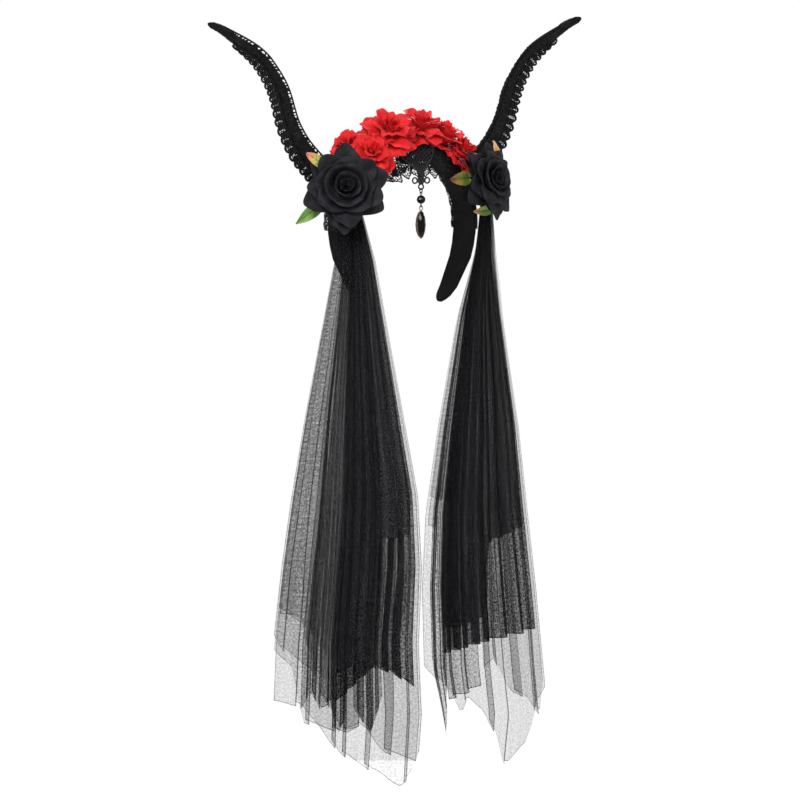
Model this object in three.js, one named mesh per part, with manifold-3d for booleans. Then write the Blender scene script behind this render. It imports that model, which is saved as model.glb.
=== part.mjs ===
import * as THREE from "three";
import { mergeVertices } from "three/addons/utils/BufferGeometryUtils.js";
import Module from "manifold-3d";

const wasm = await Module();
wasm.setup();

// Sizes in millimetres and degrees. The origin is the inner surface of the band at its apex,
// +X is the wearer's left, the front faces -Y and +Z is up.

// Headband
const crownRadius = 66;
const armRadius = 106;
const armSweep = 42;
const bandThickness = 3;
const bandWidth = 36;
const seatGap = 0.3;

// Lace over the band
const laceThickness = 1;
const laceReach = 110;
const laceScallop = 9.2;
const laceBackHang = 7;
const laceFrontHang = 13;
const laceFrontDrop = 22;
const laceBackDrop = 1.5;
const picotDepth = 1.2;

// Lattice motif on the brow and the cross below it
const motifHalfWidth = 22;
const motifFootHalfWidth = 6;
const latticeHole = 4.6;
const crossHalfWidth = 9.2;
const crossHeight = 18.4;
const crossBar = 1;
const loopHoleRadius = 1.6;

// Horns
const hornSpread = 142;
const hornRise = 153;
const hornWidth = 24;
const hornDepthShare = 0.85;
const hornSetBack = 10;
const hornRootAngle = 61.6;
const hornTrimWidth = 7.5;
const hornTrimLoops = 21;
const hornTrimThickness = 1.4;
const hornTrimRail = 1.4;

// Roses, their pads and leaves
const roseTurn = 22.3;
const roseRadius = 38;
const roseDepth = 27;
const padWidth = 38;
const padHeight = 30;
const padFront = 9.4;
const padBack = 8;
const padTop = -20;
const padOuterShare = 0.58;
const petalThickness = 1.2;
const leafThickness = 1;

// Red flowers
const flowerRadius = 20;
const flowerHeight = 30;
const flowerCore = 6;

// Veils
const veilLength = 529;
const veilHalfWidth = 69.5;
const veilThickness = 1.2;
const veilPitch = 2.4;
const veilSpread = 22;
const veilPleat = 3.4;
const veilTurn = -32;

// Pendant
const wireDiameter = 0.8;
const ringRadius = 2.2;
const loopRadius = 1.15;
const beadDiameter = 8;
const bailRadius = 1.9;
const dropWidth = 9.6;
const dropHeight = 26;
const dropDepth = 5;
const settingWall = 0.9;

const crownLength = (crownRadius * Math.PI) / 2;
const armLength = armRadius * THREE.MathUtils.degToRad(armSweep);
const bandHalfLength = crownLength + armLength;
const laceMiddle = bandThickness + seatGap + laceThickness / 2;
const laceOuter = laceMiddle + laceThickness / 2;

const blackCloth = { color: 0x0b0b0d, roughness: 0.9, metalness: 0 };
const blackLace = { color: 0x08080a, roughness: 0.85, metalness: 0 };
const blackSilk = { color: 0x1c1c20, roughness: 0.7, metalness: 0 };
const redSilk = { color: 0xd8222a, roughness: 0.6, metalness: 0 };
const blackTulle = { color: 0x101012, roughness: 0.95, metalness: 0 };
const leafGreen = { color: 0x5f9a32, roughness: 0.6, metalness: 0 };
const leafBlush = { color: 0xc08a5c, roughness: 0.6, metalness: 0 };
const darkMetal = { color: 0x2c2926, roughness: 0.35, metalness: 0.9 };
const blackGlass = { color: 0x0a0a0c, roughness: 0.08, metalness: 0 };
const bronzeMetal = { color: 0x4b3527, roughness: 0.35, metalness: 0.8 };

function radians(degrees) {
  return THREE.MathUtils.degToRad(degrees);
}

// Straight line through the rows of a table with the columns at and value.
function valueAt(rows, at) {
  if (at <= rows[0][0]) return rows[0][1];
  for (let i = 1; i < rows.length; i++) {
    const [from, low] = rows[i - 1];
    const [to, high] = rows[i];
    if (at <= to) return low + ((high - low) * (at - from)) / (to - from);
  }
  return rows[rows.length - 1][1];
}

// A geometry from points and triangles, turned so that its faces point out.
function bodyFrom(points, faces) {
  let volume = 0;
  const cross = new THREE.Vector3();
  for (let i = 0; i < faces.length; i += 3) {
    cross.crossVectors(points[faces[i + 1]], points[faces[i + 2]]);
    volume += points[faces[i]].dot(cross);
  }
  if (volume < 0) faces.reverse();
  const geometry = new THREE.BufferGeometry().setFromPoints(points);
  geometry.setIndex(faces);
  geometry.computeVertexNormals();
  return geometry;
}

// A closed body through rings of equally many points, capped at both ends.
function loftedBody(rings) {
  const count = rings[0].length;
  const faces = [];
  for (let i = 0; i + 1 < rings.length; i++) {
    for (let j = 0; j < count; j++) {
      const k = (j + 1) % count;
      const near = i * count;
      const far = near + count;
      faces.push(near + j, near + k, far + k, near + j, far + k, far + j);
    }
  }
  const last = (rings.length - 1) * count;
  for (let j = 1; j + 1 < count; j++) {
    faces.push(0, j + 1, j, last, last + j, last + j + 1);
  }
  return bodyFrom(rings.flat(), faces);
}

// A thin closed plate over a grid of places, with walls round each cell that is left out.
function openworkSheet(columns, rows, place, keep, thickness) {
  const middle = [];
  for (let j = 0; j <= rows; j++) {
    for (let i = 0; i <= columns; i++) middle.push(place(i, j));
  }
  const at = (i, j) => j * (columns + 1) + i;
  const under = middle.length;
  const top = [];
  const bottom = [];
  for (let j = 0; j <= rows; j++) {
    for (let i = 0; i <= columns; i++) {
      const across = middle[at(Math.min(i + 1, columns), j)].clone();
      across.sub(middle[at(Math.max(i - 1, 0), j)]);
      const along = middle[at(i, Math.min(j + 1, rows))].clone();
      along.sub(middle[at(i, Math.max(j - 1, 0))]);
      const normal = across.cross(along).normalize();
      const point = middle[at(i, j)];
      top.push(point.clone().addScaledVector(normal, thickness / 2));
      bottom.push(point.clone().addScaledVector(normal, -thickness / 2));
    }
  }
  const kept = (i, j) => i >= 0 && j >= 0 && i < columns && j < rows && keep(i, j);
  const faces = [];
  const wall = (a, b) => faces.push(a, under + a, under + b, a, under + b, b);
  for (let j = 0; j < rows; j++) {
    for (let i = 0; i < columns; i++) {
      if (!kept(i, j)) continue;
      const [a, b, c, d] = [at(i, j), at(i + 1, j), at(i + 1, j + 1), at(i, j + 1)];
      faces.push(a, b, c, a, c, d);
      faces.push(under + a, under + c, under + b, under + a, under + d, under + c);
      if (!kept(i, j - 1)) wall(a, b);
      if (!kept(i + 1, j)) wall(b, c);
      if (!kept(i, j + 1)) wall(c, d);
      if (!kept(i - 1, j)) wall(d, a);
    }
  }
  return bodyFrom([...top, ...bottom], faces);
}

function solidOf(geometry) {
  const bare = new THREE.BufferGeometry();
  const loose = geometry.index ? geometry.toNonIndexed() : geometry;
  bare.setAttribute("position", loose.getAttribute("position"));
  const merged = mergeVertices(bare, 1e-4);
  return new wasm.Manifold(
    new wasm.Mesh({
      numProp: 3,
      vertProperties: merged.attributes.position.array,
      triVerts: new Uint32Array(merged.index.array),
    }),
  );
}

function geometryOf(solid) {
  const mesh = solid.getMesh();
  const geometry = new THREE.BufferGeometry();
  geometry.setAttribute("position", new THREE.BufferAttribute(mesh.vertProperties, 3));
  geometry.setIndex(new THREE.BufferAttribute(mesh.triVerts, 1));
  geometry.computeVertexNormals();
  return geometry;
}

function fused(geometries) {
  return geometries.map(solidOf).reduce((whole, piece) => whole.add(piece));
}

function named(name, geometry, finish) {
  const mesh = new THREE.Mesh(geometry, new THREE.MeshStandardMaterial(finish));
  mesh.name = name;
  return mesh;
}

// Headband: a place on it by the run from its apex, the offset from its inner surface and y.
function bandPlace(run, offset, y) {
  const side = run < 0 ? -1 : 1;
  const length = Math.abs(run);
  const overCrown = length <= crownLength;
  const angle = overCrown
    ? length / crownRadius
    : (length - crownLength) / armRadius;
  const outX = overCrown ? Math.sin(angle) : Math.cos(angle);
  const outZ = overCrown ? Math.cos(angle) : -Math.sin(angle);
  const radius = overCrown ? crownRadius : armRadius;
  const centreX = overCrown ? 0 : crownRadius - armRadius;
  const x = centreX + (radius + offset) * outX;
  const z = -crownRadius + (radius + offset) * outZ;
  return new THREE.Vector3(side * x, y, z);
}

// Columns: share of the half length, share of the band's width.
const bandTaper = [
  [0.62, 1],
  [0.685, 0.975],
  [0.75, 0.95],
  [0.91, 0.76],
  [0.96, 0.62],
  [0.985, 0.42],
  [1, 0.2],
];

function headbandBody() {
  const runs = [];
  const middleSteps = 12;
  for (let i = 0; i < middleSteps; i++) runs.push((i / middleSteps) * bandTaper[0][0]);
  for (const [share] of bandTaper) runs.push(share);
  const both = [...runs.slice(1).reverse().map((share) => -share), ...runs];
  const chamfer = bandThickness / 3;
  const rings = both.map((share) => {
    const half = (bandWidth / 2) * valueAt(bandTaper, Math.abs(share));
    const run = share * bandHalfLength;
    const section = [
      [0, -half + chamfer],
      [chamfer, -half],
      [bandThickness - chamfer, -half],
      [bandThickness, -half + chamfer],
      [bandThickness, half - chamfer],
      [bandThickness - chamfer, half],
      [chamfer, half],
      [0, half - chamfer],
    ];
    return section.map(([offset, y]) => bandPlace(run, offset, y));
  });
  return loftedBody(rings);
}

// Lace strip. Columns: share of the lace's reach, share of the front overhang. It is turned in
// under the roses.
const frontHangRuns = [
  [0, 1],
  [0.38, 0.95],
  [0.46, 0.5],
  [0.54, 0.1],
  [1, 0.06],
];

// The front edge at a run: how far it stands before the band and how far it hangs down.
function frontEdge(run, share) {
  const hang = valueAt(frontHangRuns, Math.abs(run) / laceReach);
  return {
    y: -bandWidth / 2 - seatGap - share * hang * laceFrontHang,
    offset: laceMiddle - share * hang * laceFrontDrop,
  };
}

function laceStripBody() {
  const scallops = Math.round((2 * laceReach) / laceScallop);
  const columns = 2 * scallops;
  const rim = 0.78;
  const place = (i, j) => {
    const run = -laceReach + (2 * laceReach * i) / columns;
    const picot = i % 2 === 0 ? 0 : picotDepth;
    if (j <= 2) {
      const share = [1, 0.5, 0][j];
      const y = bandWidth / 2 + seatGap + share * laceBackHang + (j === 0 ? picot : 0);
      return bandPlace(run, laceMiddle - share * laceBackDrop, y);
    }
    const edge = frontEdge(run, [0, rim, 1][j - 3]);
    const droop = j === 5 ? picot * valueAt(frontHangRuns, Math.abs(run) / laceReach) : 0;
    return bandPlace(run, edge.offset - droop, edge.y);
  };
  const keep = (i, j) => (j !== 1 && j !== 3) || i % 2 === 0;
  return openworkSheet(columns, 5, place, keep, laceThickness);
}

// What stands on the band keeps clear of this body: the band, its lace and the motif's room.
function bandEnvelope(frontRoom) {
  const reach = laceReach + laceScallop;
  const steps = 30;
  const deep = -laceFrontDrop - hornWidth;
  const outer = laceOuter + seatGap;
  const back = bandWidth / 2 + laceBackHang + picotDepth + seatGap;
  const front = -bandWidth / 2 - 2 * seatGap - laceThickness;
  const rings = [];
  for (let i = 0; i <= steps; i++) {
    const run = -reach + (2 * reach * i) / steps;
    const hang = valueAt(frontHangRuns, Math.abs(run) / laceReach);
    const foot = front - hang * laceFrontHang - frontRoom;
    const section = [
      [deep, back],
      [outer, back],
      [outer, front - frontRoom],
      [outer - hang * laceFrontDrop, foot],
      [deep, foot],
    ];
    rings.push(section.map(([offset, y]) => bandPlace(run, offset, y)));
  }
  return loftedBody(rings);
}

function holeOf(points) {
  const path = new THREE.Path();
  path.setFromPoints(points);
  return path;
}

// Corners of a hole; the first is turned by a share of the step between two.
function circlePoints(x, y, radius, count, turn) {
  const points = [];
  for (let i = 0; i < count; i++) {
    const angle = ((i + turn) * 2 * Math.PI) / count;
    points.push(new THREE.Vector2(x + radius * Math.cos(angle), y + radius * Math.sin(angle)));
  }
  return points;
}

const motifStart = { y: -bandWidth / 2 - seatGap, z: laceMiddle };
const motifSlope = Math.atan2(laceFrontDrop, laceFrontHang);
const motifLength = Math.hypot(laceFrontDrop, laceFrontHang);
const motifClear = laceThickness * 1.2 + seatGap;
const crossY = motifStart.y - laceFrontHang - motifClear * Math.sin(motifSlope);
const crossTop = motifStart.z - laceFrontDrop + motifClear * Math.cos(motifSlope) + laceThickness / 2;

// Lattice outline. Columns: share from the foot's half width to the full one, share down.
const motifOutline = [
  [1, 0.04],
  [0.72, 0.45],
  [0.19, 0.85],
  [0, 1],
];
// Lattice holes. Columns: share down the lattice, number of holes in the row.
const latticeRows = [
  [0.19, 5],
  [0.43, 4],
  [0.66, 3],
  [0.86, 1],
];
const latticePitch = latticeHole * 1.45;

// Cross: shares of its height at the shoulder and at the top of the arms, share of the
// lattice's foot at the neck, and how far the loops' corners are cut.
const crossShoulder = 0.18;
const crossArm = 0.43;
const crossNeck = 0.55;
const loopCorner = 0.4;

// A plate over an outline that is given for its right half, from the top down.
function mirroredPlate(rightHalf, holes, depth) {
  const leftHalf = rightHalf.map(([x, y]) => [-x, y]).reverse();
  const shape = new THREE.Shape();
  shape.setFromPoints([...rightHalf, ...leftHalf].map(([x, y]) => new THREE.Vector2(x, y)));
  shape.holes.push(...holes);
  return new THREE.ExtrudeGeometry(shape, { depth, bevelEnabled: false });
}

// The lattice lies along local x and -y, and is turned down over the front fringe.
function latticePlate() {
  const widening = motifHalfWidth - motifFootHalfWidth;
  const rightHalf = motifOutline.map(([wide, down]) => [
    motifFootHalfWidth + wide * widening,
    -motifLength * down,
  ]);
  const holes = [];
  for (const [down, count] of latticeRows) {
    for (let i = 0; i < count; i++) {
      const x = (i - (count - 1) / 2) * latticePitch;
      holes.push(holeOf(circlePoints(x, -motifLength * down, latticeHole / 2, 4, 0)));
    }
  }
  const lattice = mirroredPlate(rightHalf, holes, laceThickness);
  lattice.translate(0, 0, motifClear - laceThickness / 2);
  lattice.rotateX(motifSlope);
  lattice.translate(0, motifStart.y, motifStart.z);
  return lattice;
}

function crossPlate() {
  const loop = loopHoleRadius + crossBar;
  const armTop = -crossHeight * crossArm;
  const armFoot = armTop - 2 * loop;
  const armMiddle = (armTop + armFoot) / 2;
  const neck = motifFootHalfWidth * crossNeck;
  const armEnd = crossHalfWidth - loop * loopCorner;
  const rightHalf = [
    [motifFootHalfWidth, 0],
    [neck, -crossHeight * crossShoulder],
    [neck, armTop],
    [armEnd, armTop],
    [crossHalfWidth, armMiddle],
    [armEnd, armFoot],
    [loop, armFoot],
    [loop, -crossHeight + loop * loopCorner],
    [loop * (1 - loopCorner), -crossHeight],
  ];
  const sideHole = crossHalfWidth - loop;
  const holes = [
    holeOf(circlePoints(-sideHole, armMiddle, loopHoleRadius, 6, 0.5)),
    holeOf(circlePoints(sideHole, armMiddle, loopHoleRadius, 6, 0.5)),
    holeOf(circlePoints(0, -crossHeight + loop, loopHoleRadius, 8, 0.5)),
  ];
  const plate = mirroredPlate(rightHalf, holes, crossBar);
  plate.rotateX(Math.PI / 2);
  plate.translate(0, crossY + crossBar / 2, crossTop);
  return plate;
}

function motifBody() {
  return geometryOf(fused([latticePlate(), crossPlate()]));
}

// Horn sections. Columns: share of the spread, share of the rise, share of the width.
const hornSections = [
  [0, 0, 1],
  [0.077, 0.033, 0.97],
  [0.19, 0.124, 0.86],
  [0.289, 0.222, 0.8],
  [0.345, 0.301, 0.74],
  [0.387, 0.379, 0.7],
  [0.415, 0.458, 0.67],
  [0.437, 0.529, 0.645],
  [0.468, 0.598, 0.62],
  [0.518, 0.673, 0.58],
  [0.585, 0.752, 0.55],
  [0.676, 0.827, 0.52],
  [0.782, 0.895, 0.45],
  [0.88, 0.948, 0.34],
  [1, 1, 0.12],
];
const hornCurve = new THREE.CatmullRomCurve3(
  hornSections.map(([out, up, width]) => new THREE.Vector3(out, up, width)),
);
const hornRoot = bandPlace(radians(hornRootAngle) * crownRadius, bandThickness, 0);

// Share of the horn's sections that the ladder trim covers, and over which the horn widens to
// its full outline past the trim.
const trimStart = 0.1;
const trimEnd = 0.7;
const trimFade = 0.1;
// Trim width. Columns: share of the trim's length, share of its width.
const hornTrimTaper = [
  [0, 1],
  [0.75, 0.8],
  [1, 0.45],
];
const trimRungShare = 0.3;
const sampleStep = 0.01;

// The horn at a share t: its middle, its outward side, and its half width without the trim.
function hornStation(t) {
  const here = hornCurve.getPoint(t);
  const ahead = hornCurve.getPoint(Math.min(t + sampleStep, 1));
  const behind = hornCurve.getPoint(Math.max(t - sampleStep, 0));
  const runX = (ahead.x - behind.x) * hornSpread;
  const runZ = (ahead.y - behind.y) * hornRise;
  const size = Math.hypot(runX, runZ);
  const out = { x: runZ / size, z: -runX / size };
  const bare = THREE.MathUtils.smoothstep(t, trimEnd - trimFade, trimEnd + trimFade);
  const shift = (hornTrimWidth / 2) * (1 - bare);
  return {
    x: hornRoot.x + here.x * hornSpread - out.x * shift,
    z: hornRoot.z + here.y * hornRise - out.z * shift,
    out,
    half: (here.z * hornWidth) / 2,
  };
}

function hornPoint(side, t, outward, y) {
  const station = hornStation(t);
  return new THREE.Vector3(
    side * (station.x + station.out.x * outward),
    hornSetBack + y,
    station.z + station.out.z * outward,
  );
}

// The horn grown by a margin.
function hornLoft(side, margin) {
  const sides = 10;
  const steps = 17;
  const rings = [];
  for (let i = 0; i <= steps; i++) {
    const t = i / steps;
    const half = hornStation(t).half + margin;
    const ring = [];
    for (let j = 0; j < sides; j++) {
      const angle = ((j + 0.5) * 2 * Math.PI) / sides;
      const outward = half * Math.cos(angle);
      ring.push(hornPoint(side, t, outward, half * hornDepthShare * Math.sin(angle)));
    }
    rings.push(ring);
  }
  return solidOf(loftedBody(rings));
}

function hornBody(side) {
  return geometryOf(hornLoft(side, 0).subtract(solidOf(bandEnvelope(0))));
}

// A ladder of loops along the outer side of the horn.
function hornTrimBody(side) {
  const columns = 2 * hornTrimLoops + 1;
  const place = (i, j) => {
    const step = Math.floor(i / 2) + (i % 2 === 0 ? 0 : trimRungShare);
    const t = trimStart + ((trimEnd - trimStart) * step) / (hornTrimLoops + trimRungShare);
    const { half } = hornStation(t);
    const width = hornTrimWidth * valueAt(hornTrimTaper, (t - trimStart) / (trimEnd - trimStart));
    const offsets = [0, hornTrimRail, width - hornTrimRail, width];
    return hornPoint(side, t, half + seatGap + offsets[j], 0);
  };
  const keep = (i, j) => j !== 1 || i % 2 === 0;
  return openworkSheet(columns, 3, place, keep, hornTrimThickness);
}

// Petals: share of their spread at the root, share of their length where they are widest, and
// how fast the point falls away to the sides.
const petalRootSpread = 0.6;
const petalWidest = 0.7;
const petalPointPower = 1.5;

// A petal is a patch of a turned surface round local +z. It leaves the core at the angle lean
// from the axis and ends at the angle fold.
function petalBody(petal, columns, rows) {
  const place = (i, j) => {
    const across = (2 * i) / columns - 1;
    const down = (j / rows) * (1 - petal.point * Math.abs(across) ** petalPointPower);
    const lean = radians(petal.lean);
    const turn = radians(petal.fold - petal.lean);
    const angle = lean + turn * down;
    const reach = (petal.length / turn) * (Math.cos(lean) - Math.cos(angle));
    const rise = (petal.length / turn) * (Math.sin(angle) - Math.sin(lean));
    const radius = petal.root + reach;
    const widening = Math.sin(Math.PI * Math.min(down, petalWidest));
    const spread = petalRootSpread + (1 - petalRootSpread) * widening;
    const around = radians(petal.around) + across * spread * radians(petal.spread);
    const wave = petal.wave * Math.cos(Math.PI * (i + petal.phase)) * down;
    return new THREE.Vector3(
      (radius + wave) * Math.cos(around),
      (radius + wave) * Math.sin(around),
      petal.base + rise + wave,
    );
  };
  return openworkSheet(columns, rows, place, () => true, petalThickness);
}

// Rose rings. Columns: petals, share of the radius at the root, share of the radius for the
// petal's length, lean, fold, half spread, first angle, share of the depth at the root.
const rosePetalRings = [
  [5, 0.17, 0.86, 62, 92, 34, 18, 0.08],
  [4, 0.17, 0.6, 34, 84, 42, 60, 0.2],
  [3, 0.17, 0.5, 8, 60, 56, 0, 0.3],
];

const rosePetalPoint = 0.3;

// Rose core. Columns: share of the radius, share of the depth.
const roseCoreProfile = [
  [0, 0],
  [0.3, 0],
  [0.34, 0.2],
  [0.2, 0.42],
  [0.2, 0.8],
  [0.1, 0.92],
  [0, 0.86],
];

// A turned core with its axis along local +z.
function turnedCore(profile, radius, height, sides) {
  const points = profile.map(([out, up]) => new THREE.Vector2(radius * out, height * up));
  const core = new THREE.LatheGeometry(points, sides);
  core.rotateX(Math.PI / 2);
  return core;
}

function roseBody(radius) {
  const core = turnedCore(roseCoreProfile, radius, roseDepth, 8);
  const petals = [];
  for (const [count, root, length, lean, fold, spread, first, base] of rosePetalRings) {
    for (let i = 0; i < count; i++) {
      const petal = {
        root: radius * root,
        length: radius * length,
        lean,
        fold,
        spread,
        around: first + (360 * i) / count,
        base: roseDepth * base,
        point: rosePetalPoint,
        wave: 0,
        phase: 0,
      };
      petals.push(petalBody(petal, 3, 2));
    }
  }
  return fused([core, ...petals]);
}

// Red flowers. Columns: petals, share of the radius at the root, share for the length, lean,
// fold, half spread, first angle, share of the height at the root.
const flowerPetalRings = [
  [5, 0.2, 0.86, 40, 84, 33, 0, 0.28],
  [3, 0.2, 0.62, 4, 54, 54, 36, 0.44],
];

const flowerPetalPoint = 0.12;
const flowerPetalWave = 0.06;
// Flower core. Columns: share of the core's radius, share of the flower's height.
const flowerCoreProfile = [
  [0, -0.27],
  [1, -0.27],
  [1, 0.5],
  [0, 0.7],
];

function flowerBody(radius) {
  const core = turnedCore(flowerCoreProfile, flowerCore, flowerHeight, 6);
  const petals = [];
  for (const [count, root, length, lean, fold, spread, first, base] of flowerPetalRings) {
    for (let i = 0; i < count; i++) {
      const petal = {
        root: radius * root,
        length: radius * length,
        lean,
        fold,
        spread,
        around: first + (360 * i) / count,
        base: flowerHeight * base,
        point: flowerPetalPoint,
        wave: radius * flowerPetalWave,
        phase: i,
      };
      petals.push(petalBody(petal, 2, 2));
    }
  }
  return fused([core, ...petals]);
}

// Flower places. Columns: degrees from the apex, share of the band's width in y, degrees of
// forward tilt, share of the flower radius, degrees of turn.
const flowerPlaces = [
  [-37, 0.2, 6, 0.98, 10],
  [-35, -0.42, 50, 1, 50],
  [-14, -0.2, 34, 1.12, 0],
  [10, -0.08, 15, 1.05, 40],
  [26, 0, 15, 0.98, 20],
  [40, 0.02, 24, 0.96, 60],
];

function flowerMatrix([angle, y, tilt, , turn]) {
  const seat = bandPlace(radians(angle) * crownRadius, laceOuter + seatGap, y * bandWidth);
  const matrix = new THREE.Matrix4().makeTranslation(seat.x, seat.y, seat.z);
  matrix.multiply(new THREE.Matrix4().makeRotationY(radians(angle)));
  matrix.multiply(new THREE.Matrix4().makeRotationX(radians(tilt)));
  matrix.multiply(new THREE.Matrix4().makeRotationZ(radians(turn)));
  return matrix;
}

// Flowers whose centres are nearer than this share of their radius meet, and the blocks that
// part them are this many radii wide.
const flowerMeeting = 2.6;
const dividerSize = 4;

// A large block whose face lies midway between two flowers, on the far one's side.
function dividingBlock(from, to) {
  const size = dividerSize * flowerRadius;
  const away = to.clone().sub(from);
  const gap = seatGap / 2;
  const block = new THREE.BoxGeometry(size, size, size);
  block.translate(0, 0, size / 2);
  const turn = new THREE.Quaternion();
  turn.setFromUnitVectors(new THREE.Vector3(0, 0, 1), away.clone().normalize());
  block.applyQuaternion(turn);
  const face = from.clone().addScaledVector(away, 0.5);
  face.addScaledVector(away.normalize(), -gap);
  block.translate(face.x, face.y, face.z);
  return solidOf(block);
}

// The two sides: the rose's share of the radius, its run along the pad and its height.
const leftSide = { side: -1, name: "left", rose: 1.04, along: 6, height: -34 };
const rightSide = { side: 1, name: "right", rose: 0.94, along: -4, height: -29 };

function padFrame(side) {
  const group = new THREE.Group();
  group.position.set(side * (crownRadius + bandThickness), -bandWidth / 2, 0);
  group.rotation.z = side * radians(roseTurn);
  group.updateMatrix();
  return group;
}

// The rose's own +z looks forward out of the pad.
function roseMatrix(place) {
  const matrix = new THREE.Matrix4().makeTranslation(
    place.side * place.along,
    -padFront - seatGap,
    place.height,
  );
  matrix.multiply(new THREE.Matrix4().makeRotationX(Math.PI / 2));
  return matrix;
}

const padCorner = 0.28;

function padBody(side) {
  const width = padWidth;
  const depth = padFront + padBack;
  const outline = new THREE.Shape();
  const corner = padHeight * padCorner;
  const half = width / 2;
  const foot = -padHeight;
  outline.moveTo(-half, -corner);
  outline.lineTo(-half + corner, 0);
  outline.lineTo(half - corner, 0);
  outline.lineTo(half, -corner);
  outline.lineTo(half, foot);
  outline.lineTo(-half, foot);
  const pad = new THREE.ExtrudeGeometry(outline, { depth, bevelEnabled: false });
  pad.rotateX(Math.PI / 2);
  pad.translate(side * width * (padOuterShare - 0.5), padBack, padTop);
  pad.applyMatrix4(padFrame(side).matrix);
  const clear = solidOf(pad).subtract(solidOf(bandEnvelope(0)));
  return geometryOf(clear);
}

// Leaves. Columns: name, side, edge of the pad that holds the root, share along that edge from
// its inner or upper end, depth, length, half width, degrees of direction in the pad's plane
// from outward towards up, finish.
const leafPlaces = [
  ["leaf_left_upper", -1, "outer", 0.36, 5, 30, 6, 58, leafBlush],
  ["leaf_left_lower", -1, "outer", 0.84, 4, 34, 6.5, -38, leafGreen],
  ["leaf_right_inner", 1, "inner", 0.3, 5, 33, 6.5, 176, leafBlush],
  ["leaf_right_lower", 1, "foot", 0.26, 7, 19, 5.5, 232, leafGreen],
  ["leaf_right_upper", 1, "top", 0.74, 6, 24, 5, 72, leafBlush],
];
// Leaves: share of the half width at the root, rise of the edges, droop of the tip.
const leafRootShare = 0.14;
const leafFold = 0.28;
const leafDroop = 0.08;

function leafRoot(edge, share, halfWidth, direction) {
  const upright = edge === "outer" || edge === "inner";
  const slant = Math.abs(upright ? Math.sin(radians(direction)) : Math.cos(radians(direction)));
  const clear = seatGap + leafThickness / 2 + leafRootShare * halfWidth * slant;
  const outer = padOuterShare * padWidth;
  const inner = outer - padWidth;
  const run = inner + share * padWidth;
  const height = padTop - share * padHeight;
  const roots = {
    outer: [outer + clear, height],
    inner: [inner - clear, height],
    foot: [run, padTop - padHeight - clear],
    top: [run, padTop + clear],
  };
  return roots[edge];
}

function leafBody(length, halfWidth) {
  const rows = 5;
  const place = (i, j) => {
    const down = j / rows;
    const bulge = Math.sin(Math.PI * Math.min(down ** 0.8, 0.95));
    const wide = halfWidth * (leafRootShare + (1 - leafRootShare) * bulge);
    const across = i - 1;
    const rise = halfWidth * leafFold * Math.abs(across) - length * leafDroop * down ** 2;
    return new THREE.Vector3(down * length, across * wide, rise);
  };
  return openworkSheet(2, rows, place, () => true, leafThickness);
}

// Veil edges. Columns: share of the length, share of the half width at the left and right.
const leftVeilEdges = [
  [0, -0.12, 0.18],
  [0.1, -0.14, 0.39],
  [0.2, -0.28, 0.53],
  [0.37, -0.53, 0.77],
  [0.5, -0.7, 0.95],
  [0.62, -0.83, 1],
  [0.75, -0.94, 0.96],
  [0.87, -0.98, 1],
  [1, -0.96, 0.92],
];
const rightVeilEdges = [
  [0, -0.11, 0.11],
  [0.1, -0.21, 0.14],
  [0.2, -0.36, 0.22],
  [0.4, -0.62, 0.44],
  [0.55, -0.78, 0.56],
  [0.68, -0.83, 0.67],
  [0.82, -0.8, 0.77],
  [0.9, -0.7, 0.82],
  [1, -0.6, 0.66],
];
// Hems. Columns: share across the layer, share of the length.
const veilLayers = [
  {
    name: "front",
    depth: 1,
    bow: -0.45,
    narrow: 0.94,
    leftHem: [[0, 0.8], [0.25, 0.9], [0.5, 0.86], [0.75, 0.98], [1, 0.9]],
    rightHem: [[0, 0.86], [0.3, 0.8], [0.6, 0.9], [0.8, 0.97], [1, 0.82]],
  },
  {
    name: "middle",
    depth: 0,
    bow: 0,
    narrow: 1,
    leftHem: [[0, 0.84], [0.2, 0.86], [0.5, 0.94], [0.85, 1], [1, 0.97]],
    rightHem: [[0, 0.92], [0.25, 0.86], [0.5, 0.9], [0.75, 0.98], [1, 0.84]],
  },
  {
    name: "back",
    depth: -0.85,
    bow: 0.45,
    narrow: 0.96,
    leftHem: [[0, 0.78], [0.3, 0.74], [0.6, 0.88], [1, 0.84]],
    rightHem: [[0, 0.8], [0.4, 0.86], [0.7, 0.78], [1, 0.86]],
  },
];
// The gathers: run along the pad, depth before the band's corner, share of the veil's length.
const veilGathers = {
  left: { side: -1, along: 3.5, depth: 5.6, edges: leftVeilEdges, length: 1 },
  right: { side: 1, along: 15, depth: -1.2, edges: rightVeilEdges, length: 0.98 },
};

// Share of the drop over which the veil turns, pleat at the gather, and how much closer the
// rows lie near the top.
const veilTurnShare = 0.25;
const veilGatherPleat = 0.3;
const veilRowPower = 1.25;

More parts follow.
